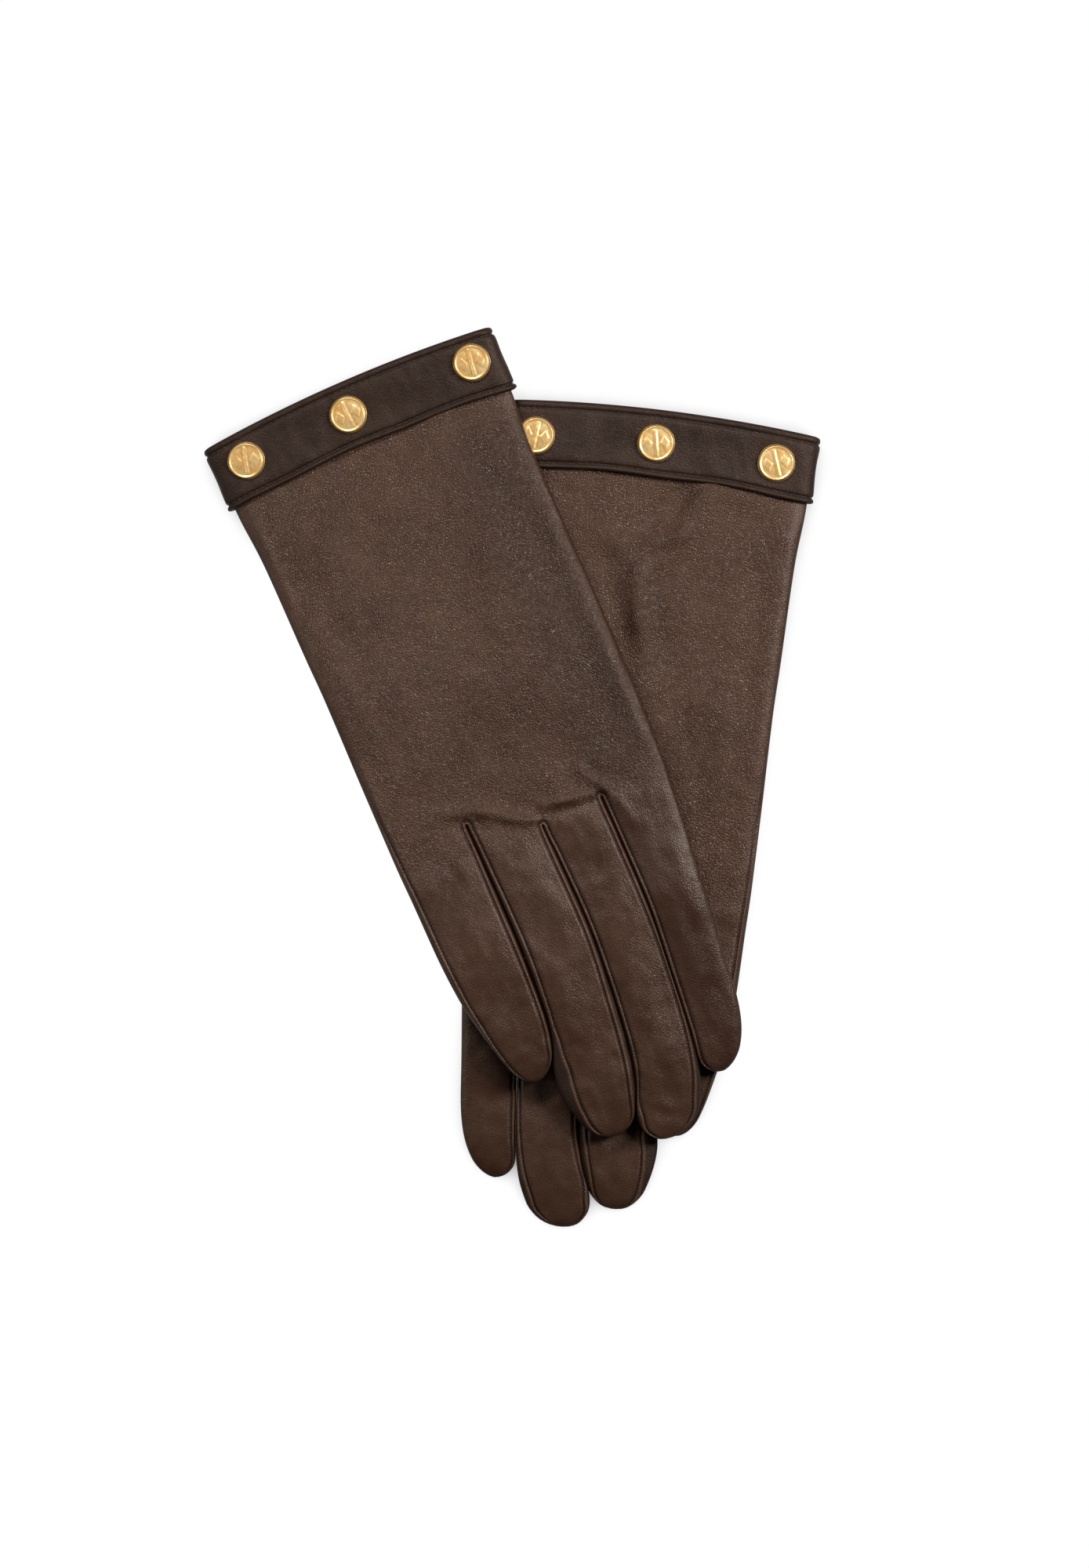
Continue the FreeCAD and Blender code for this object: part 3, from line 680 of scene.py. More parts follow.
def build_skin(glove):
    side = glove.side
    profiles = [Profile(glove, finger) for finger in FINGERS]
    grids = [skin_grid(profile, side) for profile in profiles]
    tops, bottoms, count = number_grid(grids)
    plain, detailed = np.zeros((2, count, 3))
    extras = {name: np.zeros(count) for name in ("fullness", "groove", "lip", "fold")}
    for grid, top_ids, bottom_ids in zip(grids, tops, bottoms):
        top, bottom, top_relief, bottom_relief, marks = grid
        for ids, sheet, relief in ((bottom_ids, bottom, bottom_relief), (top_ids, top, top_relief)):
            plain[ids] = sheet
            detailed[ids] = sheet + relief[..., None] * UPWARDS
            for name in extras:
                extras[name][ids] = marks[name]
            if ids is bottom_ids:
                extras["fold"][ids] = 0
    faces = skin_faces(glove, tops, bottoms)
    every = np.concatenate(list(faces.values()))
    normals = vertex_normals(glove, detailed, every)
    plain_normals = vertex_normals(glove, plain, every)
    plain[:, 2] += extras.pop("fold")
    inner = plain - SKIN_WALL * plain_normals
    extras["grain"] = grain_strength(detailed[:, 0], detailed[:, 1])
    extras["shade"] = painted_side_shade(glove, detailed[:, 0], detailed[:, 1])
    for key, part in faces.items():
        name = f"{side}_{key}_leather"
        nodes = [f"{side}_gauntlet", f"{side}_palm"] if key == "hand" else [f"{side}_{key}"]
        material = materials["side_strip" if "fourchette" in key else "leather"]
        mesh = shell_mesh(name, glove, part, detailed, inner, normals, -plain_normals, extras, material)
        piece = new_object(name, mesh, replaces=nodes)
        if key == "hand":
            bend_wrist(piece, glove)
        else:
            bend_finger(piece, glove, key.split("_")[0])
    build_lining(glove, plain, plain_normals, tops, bottoms)
    build_seam_stitches(glove, profiles, detailed, tops, bottoms)


# ---- linings

LINING_OUT, LINING_IN = 0.95, 1.3  # depth of the lining's two faces below the leather's surface


def thin_rows(first, last, step):
    return sorted(set(range(first, last, step)) | {last})


def build_lining(glove, plain, plain_normals, tops, bottoms):
    """Knitted linings of the hand and the fingers, on every second column of the leather's grid."""
    outer, inner = (plain - depth * plain_normals for depth in (LINING_OUT, LINING_IN))
    faces = {"hand": []}
    for finger, top_ids, bottom_ids in zip(FINGERS, tops, bottoms):
        rows = {"hand": thin_rows(1, ROOT_ROW, 3), finger: thin_rows(ROOT_ROW, len(top_ids) - 1, 2)}
        for ids, turned in ((top_ids, glove.mirrored), (bottom_ids, not glove.mirrored)):
            for key, own_rows in rows.items():
                faces.setdefault(key, []).append(quads(ids[own_rows][:, ::2], turned).reshape(-1, 4))
    for key, parts in faces.items():
        part = np.concatenate(parts)
        node = f"{glove.side}_hand_lining" if key == "hand" else f"{glove.side}_{key}_finger_lining"
        name = f"{node}_knit"
        turned = -plain_normals
        mesh = shell_mesh(name, glove, part, outer, inner, plain_normals, turned, {}, materials["knit"])
        if key == "hand":
            nodes = [f"{glove.side}_gauntlet_lining", f"{glove.side}_palm_lining"]
            bend_wrist(new_object(name, mesh, replaces=nodes), glove)
        else:
            bend_finger(new_object(name, mesh, replaces=[node]), glove, key)


# ---- stitches

STITCH_RINGS = ((-1.0, 0.0), (-0.92, 0.55), (-0.55, 0.95), (0.0, 1.0), (0.55, 0.95), (0.92, 0.55), (1.0, 0.0))
STITCH_SIDES = 6
SEAM_THREAD = (1.12, 0.86, 0.15)  # pitch, length and radius of a seam's stitches
BAND_THREAD = (2.1, 1.5, 0.2)
SEAM_LIFT, THUMB_LIFT, BAND_LIFT = 0.06, 0.05, 0.1  # height of the stitches over their line


def resample(line, pitch):
    """Points and directions at equal steps along a line, half a step in from its start."""
    step = np.linalg.norm(np.diff(line, axis=0), axis=1)
    run = np.concatenate([[0], np.cumsum(step)])
    marks = np.arange(pitch / 2, run[-1], pitch)
    spread = lambda at: np.stack([np.interp(at, run, line[:, k]) for k in range(3)], 1)
    along = spread(marks + 0.3 * pitch) - spread(marks - 0.3 * pitch)
    return spread(marks), along / np.linalg.norm(along, axis=1)[:, None]


def capped_tube(start, sides, rings, flip):
    """Faces of a closed form whose points are a middle, rings of as many sides each, and a middle."""
    faces = []
    end = start + 1 + sides * rings
    for k in range(sides):
        n = (k + 1) % sides
        faces.append([start, start + 1 + k, start + 1 + n])
        for base in range(start + 1, end - sides, sides):
            faces.append([base + k, base + sides + k, base + sides + n, base + n])
        faces.append([end - sides + k, end, end - sides + n])
    return [face[::-1] for face in faces] if flip else faces


def stitch_mesh(name, glove, lines, thread):
    """Short threads lying end to end along lines; each line has its sheet's outward z (1 or -1) with it."""
    pitch, length, radius = thread
    angle = 2 * math.pi * np.arange(STITCH_SIDES) / STITCH_SIDES
    points, faces = [], []
    for line, side in lines:
        for centre, direction in zip(*resample(line, pitch)):
            top = np.array([0, 0, float(side)])
            top -= direction * (top @ direction)
            top /= np.linalg.norm(top)
            beside = np.cross(direction, top)
            faces += capped_tube(len(points), STITCH_SIDES, len(STITCH_RINGS) - 2, glove.mirrored)
            for place, wide in STITCH_RINGS:
                middle = centre + direction * place * length / 2 - top * radius * 0.9 * place**2
                if wide == 0:
                    points.append(middle)
                    continue
                for turn in angle:
                    swing = beside * math.cos(turn) + top * math.sin(turn)
                    points.append(middle + swing * radius * wide)
    points = np.array(points)
    return build_mesh(name, glove.to_row(points), faces, None, points, {}, materials["thread"])


def build_seam_stitches(glove, profiles, detailed, tops, bottoms):
    near = STRIP_COLUMNS + LIP_STEPS.index(STITCH_STEP)
    for profile, finger, top_ids, bottom_ids in zip(profiles, FINGERS, tops, bottoms):
        lines = []
        for end, column in ((0, near), (1, COLUMNS - 1 - near)):
            if profile.strength[end] == 0:
                continue
            start = profile.crotch[end][1] - 1 if profile.crotch[end] else OUT_SEAM_START + 12
            for ids, side in ((top_ids, 1), (bottom_ids, -1)):
                line = detailed[ids[:, column]]
                line = line[(line[:, 1] > start) & (line[:, 1] < profile.tip - 3)]
                line[:, 2] += side * SEAM_LIFT
                lines.append((line, side))
        name = f"{glove.side}_{finger}_seam_thread"
        mesh = stitch_mesh(name, glove, lines, SEAM_THREAD)
        bend_finger(new_object(name, mesh), glove, finger)


# ---- the cuff's band

BAND_REACH = 6.5
STITCH_ROWS = (2.5, 19.6)  # along the band, from its mouth
# the band's cut: (along, depth or height over the hand's leather as a share of the band's thickness)
BAND_OUTSIDE = [
    (0.9, -1.95), (0.35, -1.55), (0.05, -1.0), (-0.05, -0.3), (0.05, 0.35), (0.3, 0.8), (0.7, 1.02),
    (1.2, 1.1), (1.8, 1.08), (2.15, 0.93), (2.5, 0.74), (2.85, 0.93), (3.3, 1.08), (4.0, 1.12),
    (5.5, 1.1), (7.0, 1.07), (8.5, 1.05), (10.0, 1.04), (11.5, 1.03), (13.0, 1.03), (14.5, 1.04),
    (16.0, 1.06), (17.5, 1.09), (18.6, 1.1), (19.0, 1.04), (19.3, 0.9), (19.6, 0.72), (19.9, 0.9),
    (20.2, 1.08), (20.6, 1.2), (21.0, 1.2), (21.35, 1.02), (21.55, 0.7), (21.6, 0.35), (21.5, 0.08),
]
BAND_INSIDE = [
    (19.5, 0.03), (15.0, 0.03), (10.0, 0.03), (5.0, 0.03), (2.2, 0.03), (1.35, -0.05), (1.05, -0.45),
    (1.1, -1.05), (1.5, -1.32), (3.0, -1.36), (4.6, -1.38), (5.2, -1.45), (5.35, -1.62), (5.2, -1.8),
    (4.6, -1.9), (3.0, -1.95), (1.8, -2.0),
]
BAND_CUT = BAND_OUTSIDE + BAND_INSIDE
BAND_FACE = 0.5  # above this share of its thickness, the band's cut is its outer face
BAND_DENT, BAND_DENT_SIZE = 0.26, 8.0
STUD_DENT = (0.3, 6.2, 1.3)  # depth of the leather round a stud, its distance and width
BAND_WAVE, BAND_WAVE_TURN = 0.25, 0.16  # the lower fold's edge swings to and fro along the cuff
LOOP_POINTS = 61
EVEN_SHARES = np.linspace(0, 1, LOOP_POINTS)
# shares of the cuff's width, closer together near both edges
LOOP_SHARES = (1 - np.cos(math.pi * EVEN_SHARES)) / 2 * 0.72 + EVEN_SHARES * 0.28


def skin_loop(section, along):
    """The hand's surface round the cuff at one place along it: a closed loop of (across, up) points."""
    low, high, middle, half, tilt = (curve(along) for curve in section)
    across = low + (high - low) * LOOP_SHARES
    rise = half * rounding(np.minimum(across - low, high - across), BAND_REACH)
    level = middle + tilt * (across - (low + high) / 2)
    top = np.stack([across, level + rise], 1)
    bottom = np.stack([across, level - rise], 1)[-2:0:-1]
    return np.vstack([top, bottom])


def loop_normals(loop):
    run = np.roll(loop, -1, 0) - np.roll(loop, 1, 0)
    normals = np.stack([-run[:, 1], run[:, 0]], 1)
    return normals / np.linalg.norm(normals, axis=1)[:, None]


def band_ring(section, along, share, thick, studs, seed):
    """One ring of the band's surface: points round the cuff at one place of the band's cut."""
    loop = skin_loop(section, max(along - 1.0, 0.0))
    across, up = loop.T
    normals = loop_normals(loop)
    offset = np.full(len(loop), share * thick if share > 0 else share)
    if share > BAND_FACE:
        dent = BAND_DENT * soft_noise(across, along + up * 3, BAND_DENT_SIZE, seed)
        depth, place, width = STUD_DENT
        for stud in studs:
            reach = np.hypot(across - stud[0], along + mouth_bow(across) - stud[1])
            dent -= np.where(normals[:, 1] > 0.5, depth * bell(reach, place, width), 0)
        offset += dent * smoothstep((along - 0.5) / 3) * smoothstep((20.6 - along) / 2)
    wave = BAND_WAVE * np.sin(across * BAND_WAVE_TURN + seed) * (normals[:, 1] > 0)
    run = along + mouth_bow(across) + wave * smoothstep((along - 16) / 4)
    place = loop + normals * offset[:, None]
    return np.stack([place[:, 0], run, place[:, 1]], 1)


def build_band(glove, studs):
    side = glove.side
    rows = sections(glove, f"{side}_gauntlet")
    section = [smooth_curve(rows[:, 0], rows[:, k]) for k in range(1, 6)]
    band = sections(glove, f"{side}_cuff_band")
    thick = float(band[:, 4].max() - section[3](10.0))
    seed = 2.0 if side == "left" else 6.0
    points = np.array([band_ring(section, along, share, thick, studs, seed) for along, share in BAND_CUT])
    ids = np.pad(np.arange(points[..., 0].size).reshape(points.shape[:2]), ((0, 1), (0, 1)), mode="wrap")
    faces = quads(ids, glove.mirrored).reshape(-1, 4)
    flat = points.reshape(-1, 3)
    # painted shade along the band's stitch rows, in their grooves
    groove = np.zeros(points.shape[:2])
    for ring, (along, share) in zip(groove, BAND_CUT):
        if share > BAND_FACE:
            ring[:] = 0.35 * max(bell(along, row, 0.35) for row in STITCH_ROWS)
    extras = {
        "grain": np.full(len(flat), 0.45),
        "fullness": np.ones(len(flat)),
        "groove": groove.ravel(),
        "lip": np.zeros(len(flat)),
    }
    name = f"{side}_cuff_band_leather"
    mesh = build_mesh(name, glove.to_row(flat), faces.tolist(), None, flat, extras, materials["band"])
    new_object(name, mesh, f"{side}_cuff", [f"{side}_cuff_band"])
    lines = []
    lift = np.array([0, 0, BAND_LIFT])
    for row in STITCH_ROWS:
        ring = points[[along for along, share in BAND_CUT].index(row)]
        lines.append((ring[:LOOP_POINTS] + lift, 1))
        lines.append((np.vstack([ring[LOOP_POINTS - 1 :], ring[:1]]) - lift, -1))
    name = f"{side}_cuff_stitches"
    mesh = stitch_mesh(name, glove, lines, BAND_THREAD)
    new_object(name, mesh, f"{side}_cuff", [f"{side}_cuff_stitching"])


# ---- studs

STUD_RADIUS = 6.0
STUD_DOME = 0.3
STUD_RINGS = 34
STUD_SPOKES = 96
STUD_TURNS = {"right": (14, -4, 7), "left": (20, 11, -6)}  # degrees
# below the face: a flat back just inside the rim, then the post down into the cuff (radius, height)
STUD_BACK = ((5.9, -1.25), (5.5, -1.35), (1.5, -1.35), (1.5, -3.6))
BACK_SHADE_RELIEF = -0.3  # the back gets painted shade, coloured as a low place


def find_studs(glove):
    """Place and height of each stud of the cuff, from the CAD: (across, along, top height)."""
    points = glove.to_local(node_points(f"{glove.side}_stud_caps"))
    points = points[np.argsort(points[:, 0])]
    gaps = np.where(np.diff(points[:, 0]) > 10)[0]
    studs = []
    for group in np.split(points, gaps + 1):
        low, high = group.min(0), group.max(0)
        studs.append(((low[0] + high[0]) / 2, (low[1] + high[1]) / 2, high[2]))
    return studs


def stud_relief(x, y, number):
    """Relief of a stud's face over its dome: a raised rim, a narrow bar and two plain raised lozenges."""
    r = np.hypot(x, y)
    rim = 0.24 * bell(r, 5.3, 0.34) - (1 - smoothstep((STUD_RADIUS - r) / 0.6))
    bar = 0.13 * bell(x, 0, 0.4) - 0.05 * bell(np.abs(x), 0.95, 0.35)
    block = np.abs(np.abs(x) - 2.8) / 1.7 + np.abs(y) / 2.7
    lozenge = 0.13 * smoothstep((1.0 - block) / 0.35)
    beaten = 0.04 * soft_noise(x, y, 1.4, 11 + number) * smoothstep((5.0 - r) / 0.7)
    return rim + bar * smoothstep((4.8 - np.abs(y)) / 0.8) + lozenge + beaten


def build_studs(glove, studs):
    side = glove.side
    tilt = sections(glove, f"{side}_gauntlet")[0, 5]
    right = np.array([1, 0, tilt]) / math.hypot(1, tilt)
    up = np.array([-tilt, 0, 1]) / math.hypot(1, tilt)
    points, faces, marks = [], [], []
    radii = STUD_RADIUS * np.sin(np.linspace(0, math.pi / 2, STUD_RINGS + 1)[1:])
    back = np.array(STUD_BACK)
    radii = np.concatenate([radii, back[:, 0]])
    angle = 2 * math.pi * np.arange(STUD_SPOKES) / STUD_SPOKES
    x = np.concatenate([[0], np.outer(radii, np.cos(angle)).ravel(), [0]])
    y = np.concatenate([[0], np.outer(radii, np.sin(angle)).ravel(), [0]])
    on_face = np.arange(len(x)) <= STUD_RINGS * STUD_SPOKES
    back_lift = np.append(np.repeat(back[:, 1], STUD_SPOKES), back[-1, 1])
    for number, (across, along, top) in enumerate(studs):
        turn = math.radians(STUD_TURNS[side][number])
        centre = np.array([across, along, top - 0.5])
        relief = stud_relief(x[on_face], y[on_face], number)
        dome = STUD_DOME * (1 - (np.hypot(x[on_face], y[on_face]) / STUD_RADIUS) ** 2)
        lift = np.concatenate([dome + relief, back_lift])
        marks.extend(np.concatenate([relief, np.full(len(back_lift), BACK_SHADE_RELIEF)]))
        turned_x = x * math.cos(turn) - y * math.sin(turn)
        turned_y = x * math.sin(turn) + y * math.cos(turn)
        faces += capped_tube(len(points), STUD_SPOKES, len(radii), glove.mirrored)
        points.extend(centre + turned_x[:, None] * right + turned_y[:, None] * (0, 1, 0) + lift[:, None] * up)
    points = np.array(points)
    name = f"{side}_studs_metal"
    extras = {"relief": np.array(marks)}
    mesh = build_mesh(name, glove.to_row(points), faces, None, points, extras, materials["gold"])
    new_object(name, mesh, f"{side}_cuff", [f"{side}_stud_caps"])


# ---- thumbs

THUMB_ROWS = 70
THUMB_SECTIONS = 14
THUMB_REACH = 7.0
THUMB_WIDTH = 22  # its columns are spaced for a thumb this wide
THUMB_INSET = 2.0
THUMB_STEPS = np.array([0, 0.12, 0.35, 0.7, 1.1, 1.5, 1.8, 2.0, 2.2, 2.5, 3.0, 3.8, 5.0]) / THUMB_WIDTH
THUMB_COLUMNS = np.concatenate([THUMB_STEPS, np.linspace(0.27, 0.73, 9), 1 - THUMB_STEPS[::-1]])[None, :]
THUMB_SEAM_COLUMN = -8  # the column at the inset


def thumb_frame(glove):
    """A frame at the thumb's hinge, along the thumb."""
    hinge = np.array(joints[f"{glove.side}_thumb_swing"]["pos_m"], float) * IN_PLAN
    run = node_points(f"{glove.side}_thumb").mean(0) * IN_PLAN - hinge
    made = copy.copy(glove)
    made.origin = hinge
    made.along = run / np.linalg.norm(run)
    made.across = np.cross(made.along, UPWARDS) * (-1 if glove.mirrored else 1)
    return made


def thumb_curves(place):
    """The thumb's ends, and its edges, middle height and thickness round an angle from 0 to pi along it."""
    node = f"{place.side}_thumb"
    along = place.to_local(node_points(node))[:, 1]
    start, end = along.min(), along.max()
    rows = sections(place, node, np.linspace(start + 0.4, end - 0.4, THUMB_SECTIONS))
    angles = np.arccos(np.clip(1 - 2 * (rows[:, 0] - start) / (end - start), -1, 1))
    marks = np.concatenate([[0], angles, [math.pi]])
    centre = rows[[0, -1], 1:3].mean(1)
    levels = rows[[0, -1], 3]
    ends = ((1, centre), (2, centre), (3, levels), (4, (0, 0)))
    curves = [smooth_curve(marks, np.concatenate([at[:1], rows[:, k], at[1:]])) for k, at in ends]
    return start, end, curves


def build_thumb(glove):
    side = glove.side
    place = thumb_frame(glove)
    start, end, curves = thumb_curves(place)
    phi = np.linspace(0, math.pi, THUMB_ROWS)[:, None]
    low, high, level, half = (curve(phi) for curve in curves)
    width = high - low
    across = low + width * THUMB_COLUMNS
    along = (start + (end - start) * (1 - np.cos(phi)) / 2) * np.ones_like(across)
    near = np.minimum(across - low, high - across)
    full = rounding(near, np.clip(width / 2, 0.01, THUMB_REACH))
    x = (high - across) - THUMB_INSET * width / THUMB_WIDTH
    fade = smoothstep((along - start - 6) / 6) * smoothstep((end - along) / 8)
    relief = fade * 0.8 * seam_relief(x)
    soft = 0.2 * soft_noise(across, along, 12.0, 21) * smoothstep(full * 1.6 - 0.6)
    rise = half * full
    top = np.stack([across, along, level + rise + relief + np.minimum(soft, 0)], -1)
    bottom = np.stack([across, along, level - rise - relief + np.maximum(soft, 0)], -1)
    top_ids, bottom_ids = np.arange(2 * across.size).reshape(2, *across.shape)
    bottom_ids[:, [0, -1]] = top_ids[:, [0, -1]]
    for row in (0, -1):
        top_ids[row] = bottom_ids[row] = top_ids[row, 0]
    flat = np.vstack([top.reshape(-1, 3), bottom.reshape(-1, 3)])
    sheets = ((top_ids, glove.mirrored), (bottom_ids, not glove.mirrored))
    faces = np.concatenate([quads(ids, turned).reshape(-1, 4) for ids, turned in sheets])
    normals = vertex_normals(glove, flat, faces)
    groove, lip = (np.tile((fade * mark).ravel(), 2) for mark in seam_marks(x))
    extras = {
        "grain": np.full(len(flat), 0.4),
        "fullness": np.tile(full.ravel(), 2),
        "groove": groove,
        "lip": lip,
    }
    name = f"{side}_thumb_leather"
    inner = flat - SKIN_WALL * normals
    mesh = shell_mesh(name, place, faces, flat, inner, normals, -normals, extras, materials["leather"])
    new_object(name, mesh, f"{side}_thumb", [f"{side}_thumb"])
    rows = fade[:, THUMB_SEAM_COLUMN] > 0.6
    lines = [
        (sheet[rows, THUMB_SEAM_COLUMN] + (0, 0, lift), math.copysign(1, lift))
        for sheet, lift in ((top, THUMB_LIFT), (bottom, -THUMB_LIFT))
    ]
    name = f"{side}_thumb_seam_thread"
    new_object(name, stitch_mesh(name, place, lines, SEAM_THREAD), f"{side}_thumb")


# ---- materials

# painted shade for the seams' stitch grooves
SEAM_GROOVE_SHADE = (0.008, 0.004, 0.003, 1)
SHEEN_TINT = (1.0, 0.86, 0.76, 1.0)


class Nodes:
    """A short way to write the node tree of a material or a world."""

    def __init__(self, owner):
        owner.use_nodes = True
        self.owner = owner
        self.tree = owner.node_tree

    def link(self, value, socket):
        if isinstance(value, bpy.types.NodeSocket):
            self.tree.links.new(value, socket)
        else:
            socket.default_value = value

    def add(self, kind, out=0, settings=None, **inputs):
        node = self.tree.nodes.new(f"ShaderNode{kind}")
        for key, value in (settings or {}).items():
            setattr(node, key, value)
        for key, value in inputs.items():
            name = key.replace("_", " ")
            socket = node.inputs[int(name[1:])] if name[1:].isdigit() else node.inputs[name]
            self.link(value, socket)
        return node.outputs[out]

    def math(self, operation, a, b=0.0, c=0.0):
        return self.add("Math", settings={"operation": operation}, i0=a, i1=b, i2=c)

    def times(self, a, b):
        return self.math("MULTIPLY", a, b)

    def value(self, name):
        return self.add("Attribute", out="Fac", settings={"attribute_name": name})

    def rest(self):
        """The place on the glove in millimetres, in the glove's own directions."""
        return self.add("Attribute", out="Vector", settings={"attribute_name": "rest"})

    def noise(self, vector, scale, detail=2.0, rough=0.5, out=0):
        return self.add("TexNoise", out, Vector=vector, Scale=scale, Detail=detail, Roughness=rough)

    def wave(self, vector, scale, distortion, direction):
        settings = {"bands_direction": direction}
        return self.add("TexWave", 0, settings, Vector=vector, Scale=scale, Distortion=distortion)

    def spread(self, value, low, high, to_low=0.0, to_high=1.0):
        return self.add("MapRange", i0=value, i1=low, i2=high, i3=to_low, i4=to_high)

    def mix(self, share, a, b):
        node = self.tree.nodes.new("ShaderNodeMix")
        node.data_type = "RGBA"
        for number, value in ((0, share), (6, a), (7, b)):
            self.link(value, node.inputs[number])
        return node.outputs[2]

    def bump(self, height, distance, strength, **normal):
        return self.add("Bump", Height=height, Distance=distance, Strength=strength, **normal)

    def finish(self, **inputs):
        for key, value in inputs.items():
            self.link(value, self.tree.nodes["Principled BSDF"].inputs[key.replace("_", " ")])
        return self.owner


def new_material(name):
    return Nodes(bpy.data.materials.new(name))


def leather(name, dark, light, crease, pebble, rough, shine):
    """Grained leather: pebbles with painted shade in the creases between them, uneven dye, lighter lips from
    wear and a painted highlight, painted shade in the stitch grooves and on the rolled edges.
    """
    n = new_material(name)
    place = n.rest()
    grain = n.value("grain")
    warp = n.noise(place, 0.35, out="Color")
    bent = n.add("VectorMath", 0, {"operation": "MULTIPLY_ADD"}, i0=warp, i1=(1.2, 1.2, 1.2), i2=place)
    cells = {"Vector": bent, "Scale": 1 / pebble}
    to_crease = n.add("TexVoronoi", 0, {"feature": "DISTANCE_TO_EDGE"}, **cells)
    domes = n.spread(n.add("TexVoronoi", "Distance", **cells), 0.65, 0.05)
    pebbles = n.math("MULTIPLY_ADD", domes, 0.5, n.times(n.spread(to_crease, 0.0, 0.22), 0.5))
    depth = n.math("SUBTRACT", 1.0, pebbles)
    streak = n.noise(place, 0.16, 3.0, 0.6)

    # uneven dye at random, darker where there is less grain, painted shade where the shade attribute is set,
    # with each pebble a little lighter or not
    tone = n.math("ADD", n.times(n.noise(place, 0.045, 3.0, 0.55), 0.6), n.times(streak, 0.4))
    colour = n.mix(n.spread(tone, 0.36, 0.66), (*dark, 1), (*light, 1))
    deep = tuple(0.62 * c for c in dark)
    colour = n.mix(n.spread(grain, 1.0, 0.4, 0.0, 0.5), colour, (*deep, 1))
    # painted shade towards the right glove's thumb side, from the shade attribute
    colour = n.mix(n.value("shade"), colour, (*deep, 1))
    own = n.math("FRACT", n.times(n.add("TexVoronoi", "Color", **cells), 7.3))
    each = n.times(n.math("SUBTRACT", own, 0.5), 0.16)
    colour = n.mix(n.times(n.math("ADD", each, 0.08), grain), colour, (*light, 1))

    # painted shade in the creases, the stitch grooves and on the rolled edges; lips lighter from wear and a
    # painted highlight
    # painted shade in the pebble grain's creases
    colour = n.mix(n.times(n.times(depth, depth), n.times(grain, 0.75)), colour, (*crease, 1))
    # painted shade in the stitch groove, darkest along the stitch line
    colour = n.mix(n.times(n.value("groove"), 0.55), colour, SEAM_GROOVE_SHADE)
    # lighter lips: wear on the raised bead and a painted highlight along it
    lip_wear_and_highlight = tuple(min(1.0, 1.5 * c) for c in light)
    colour = n.mix(n.times(n.value("lip"), 0.35), colour, (*lip_wear_and_highlight, 1))
    # painted shade on the rolled edges and the fingers' side walls, where fullness is low
    edge = n.spread(n.value("fullness"), 0.72, 0.3)
    colour = n.mix(n.times(edge, 0.5), colour, (*crease, 1))

    swell = n.noise(n.add("Mapping", Vector=place, Scale=(1.0, 0.6, 1.0)), 0.07)
    normal = n.bump(pebbles, 0.0002, grain, Normal=n.bump(swell, 0.0022, 0.8))
    normal = n.bump(n.noise(place, 2.6, 3.0, 0.6), 0.00005, 0.5, Normal=normal)
    finish = n.math("ADD", n.spread(streak, 0.3, 0.7, rough - 0.05, rough + 0.07), n.times(depth, 0.12))
    shiny = {"Specular_IOR_Level": shine, "Specular_Tint": SHEEN_TINT}
    return n.finish(Base_Color=colour, Roughness=finish, Normal=normal, **shiny)


def thread_material():
    n = new_material("sewing_thread")
    place = n.rest()
    twist = n.wave(place, 1.1, 1.5, "DIAGONAL")
    colour = n.mix(n.noise(place, 0.8), (0.004, 0.003, 0.002, 1), (0.012, 0.008, 0.006, 1))
    colour = n.mix(n.times(twist, 0.3), colour, (0.02, 0.012, 0.009, 1))
    return n.finish(Base_Color=colour, Roughness=0.6, Normal=n.bump(twist, 0.00006, 0.7))


def knit_material():
    n = new_material("lining_knit")
    place = n.rest()
    loops = n.times(n.wave(place, 0.42, 0.6, "X"), n.wave(place, 0.5, 1.2, "Y"))
    colour = n.mix(loops, (0.018, 0.012, 0.010, 1), (0.075, 0.05, 0.04, 1))
    colour = n.mix(n.spread(n.noise(place, 0.2), 0.3, 0.8, 0.0, 0.4), colour, (0.05, 0.036, 0.03, 1))
    return n.finish(Base_Color=colour, Roughness=0.85, Normal=n.bump(loops, 0.0002, 0.6))


def gold_material(name, has_relief):
    n = new_material(name)
    place = n.add("TexCoord", out="Object")
    fine = n.noise(place, 900.0, 3.0, 0.6)
    brushed = n.noise(n.add("Mapping", Vector=place, Scale=(1, 14, 1)), 420.0, 2.0, 0.6)
    colour = n.mix(n.spread(n.noise(place, 260.0), 0.3, 0.7), (0.9, 0.5, 0.16, 1), (1.0, 0.7, 0.31, 1))
    if has_relief:
        # painted shade in the stud's low places and on its back
        low = n.spread(n.value("relief"), 0.0, -0.14)
        colour = n.mix(n.times(low, 0.6), colour, (0.34, 0.16, 0.04, 1))
    rough = n.spread(fine, 0.3, 0.7, 0.26, 0.38)
    normal = n.bump(brushed, 0.00003, 0.35, Normal=n.bump(fine, 0.00004, 0.3))
    return n.finish(Base_Color=colour, Metallic=0.55, Roughness=rough, Normal=normal)


# ---- putting the gloves together

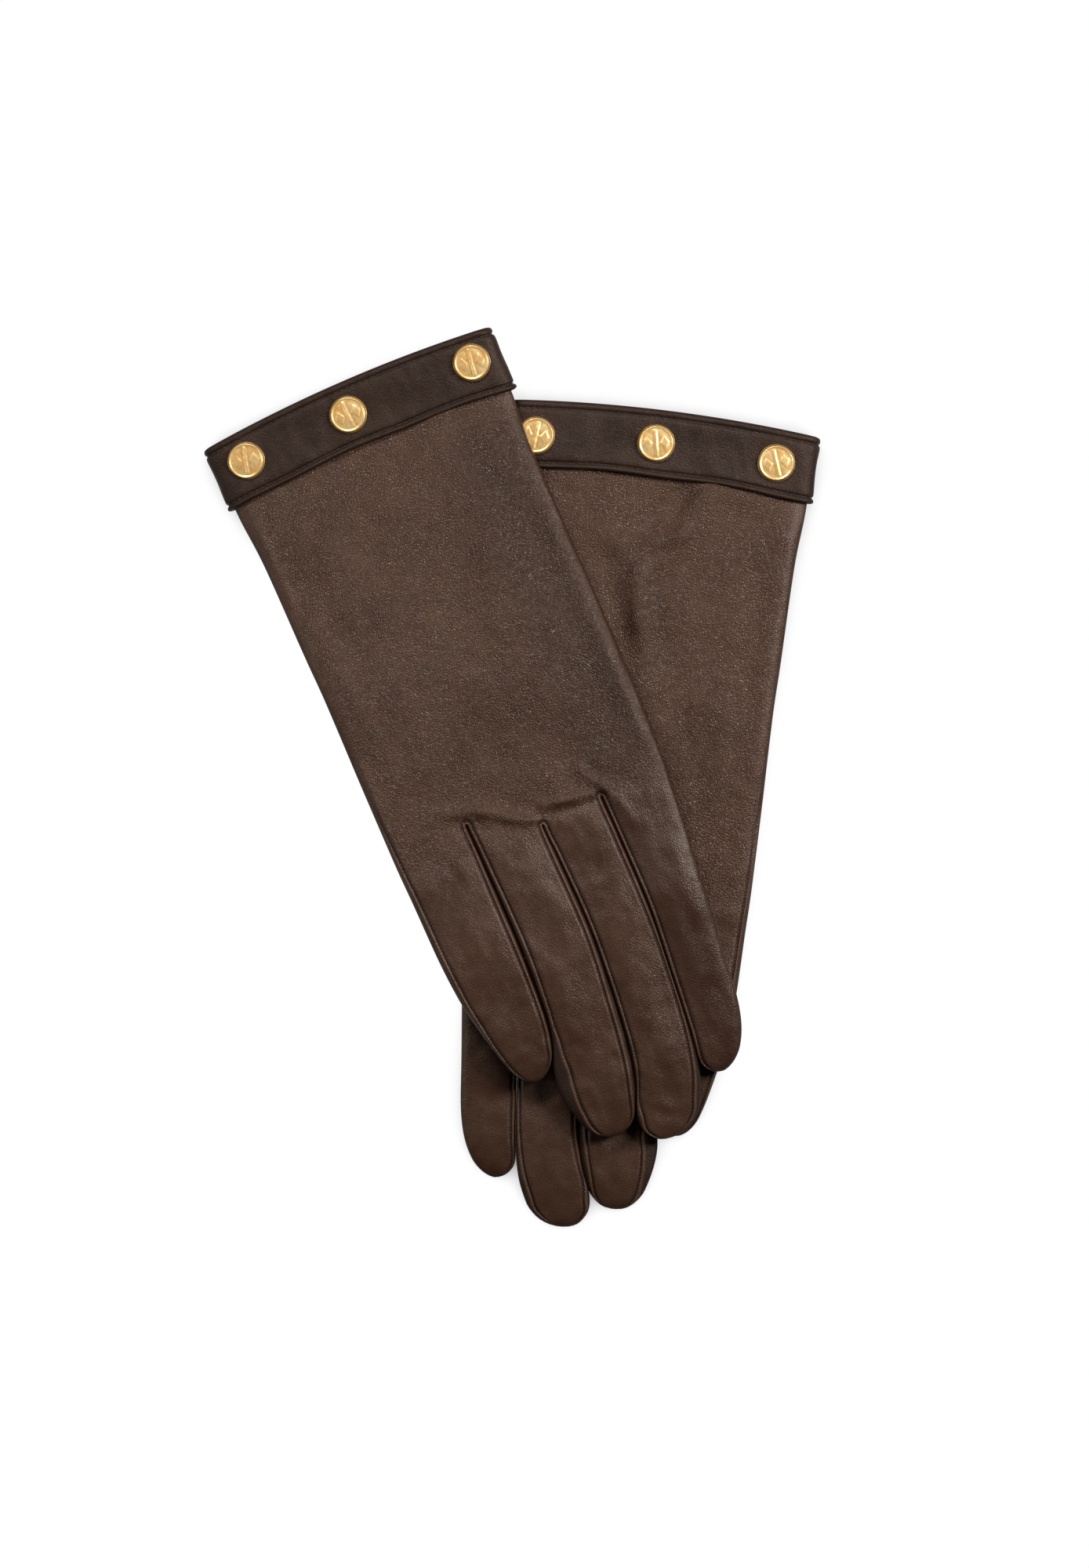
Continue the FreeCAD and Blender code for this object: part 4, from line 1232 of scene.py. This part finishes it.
# dark dye, light dye and the colour of the painted shade in the creases and on the rolled edges
HAND_TONES = ((0.052, 0.021, 0.0105), (0.092, 0.042, 0.023), (0.012, 0.0045, 0.0025))
BAND_TONES = ((0.022, 0.009, 0.005), (0.042, 0.019, 0.011), (0.006, 0.003, 0.002))
materials = {
    "leather": leather("hand_leather", *HAND_TONES, 0.7, 0.35, 0.5),
    "side_strip": leather("side_strip_leather", *BAND_TONES, 0.7, 0.5, 0.35),
    "band": leather("band_leather", *BAND_TONES, 0.65, 0.4, 0.3),
    "thread": thread_material(),
    "knit": knit_material(),
    "gold": gold_material("gold_stud", True),
    "washer": gold_material("brass_washer", False),
}
for side in ("left", "right"):
    glove = GloveFrame(side)
    build_skin(glove)
    studs = find_studs(glove)
    build_band(glove, studs)
    build_studs(glove, studs)
    build_thumb(glove)
    for node, key in (("stud_washers", "washer"), ("thumb_lining", "knit")):
        shown = frame["nodes"][f"{side}_{node}"]
        shown.data.materials.clear()
        shown.data.materials.append(materials[key])

# ---- floor, light and camera

FLOOR_REACH, FLOOR_LEVEL = 0.9, -0.0006

scene = bpy.context.scene
scene.view_settings.view_transform = "Standard"
scene.world = bpy.data.worlds.new("studio")
# only a little light comes from round about, and more from below, as from a pale table; the camera sees white
n = Nodes(scene.world)
height = n.add("SeparateXYZ", out="Z", Vector=n.add("TexCoord", out="Generated"))
glow = n.add("Background", Color=n.spread(height, 0.0, -0.5, 0.017, 0.4))
white = n.add("Background", Color=(1, 1, 1, 1))
seen = n.add("LightPath", out="Is Camera Ray")
n.link(n.add("MixShader", i0=seen, i1=glow, i2=white), n.tree.nodes["World Output"].inputs["Surface"])

floor_mesh = bpy.data.meshes.new("floor")
corners = [(x * FLOOR_REACH, y * FLOOR_REACH, FLOOR_LEVEL) for x, y in ((-1, -1), (1, -1), (1, 1), (-1, 1))]
floor_mesh.from_pydata(corners, [], [(0, 1, 2, 3)])
floor = new_object("floor", floor_mesh)
# the floor is as white as the room and only shows a painted contact shadow, dark where the gloves are near;
# it is clear from below
n = new_material("pale_floor")
open_air = n.add("AmbientOcclusion", out="AO", Distance=0.012)
shadow = n.math("MAXIMUM", n.spread(open_air, 0.7, 0.0, 0.0, 0.8), n.spread(open_air, 0.32, 0.1))
above = n.math("SUBTRACT", 1.0, n.add("NewGeometry", out="Backfacing"))
mottle = n.noise(n.add("TexCoord", out="Object"), 40.0)
grey = n.mix(mottle, (0.02, 0.02, 0.02, 1), (0.03, 0.03, 0.03, 1))
alpha = n.times(shadow, above)
floor_mesh.materials.append(n.finish(Base_Color=grey, Roughness=1.0, Specular_IOR_Level=0.0, Alpha=alpha))
for ray in ("diffuse", "glossy", "transmission", "volume_scatter", "shadow"):
    setattr(floor, f"visible_{ray}", False)

unlit_floor = bpy.data.collections.new("unlit_floor")
unlit_floor.objects.link(floor)
unlit_floor.collection_objects[0].light_linking.link_state = "EXCLUDE"


def softbox(name, place, size, power):
    """A rectangular lamp that is turned to the gloves and doesn't light the floor."""
    lamp = bpy.data.lights.new(name, "AREA")
    lamp.shape = "RECTANGLE"
    lamp.size, lamp.size_y = size
    lamp.energy = power
    made = new_object(name, lamp)
    made.location = place
    made.rotation_euler = (Vector((0, 0, 0.01)) - Vector(place)).to_track_quat("-Z", "Y").to_euler()
    made.light_linking.receiver_collection = unlit_floor


softbox("softbox_right", (0.75, 0.3, 0.75), (0.3, 0.45), 12)
softbox("softbox_top", (-0.25, 0.75, 0.9), (0.45, 0.2), 8)
softbox("softbox_left", (-0.95, -0.1, 0.5), (0.25, 0.8), 2.5)

# far away and straight above, with a lens to match
SENSOR_WIDTH, LENS = 36, 250
camera = new_object("camera", bpy.data.cameras.new("camera"))
scene.camera = camera
camera.data.sensor_width = SENSOR_WIDTH
camera.data.lens = LENS
camera.location = (0.01056, -0.00292, 0.504 * LENS / SENSOR_WIDTH)

bpy.context.view_layer.update()
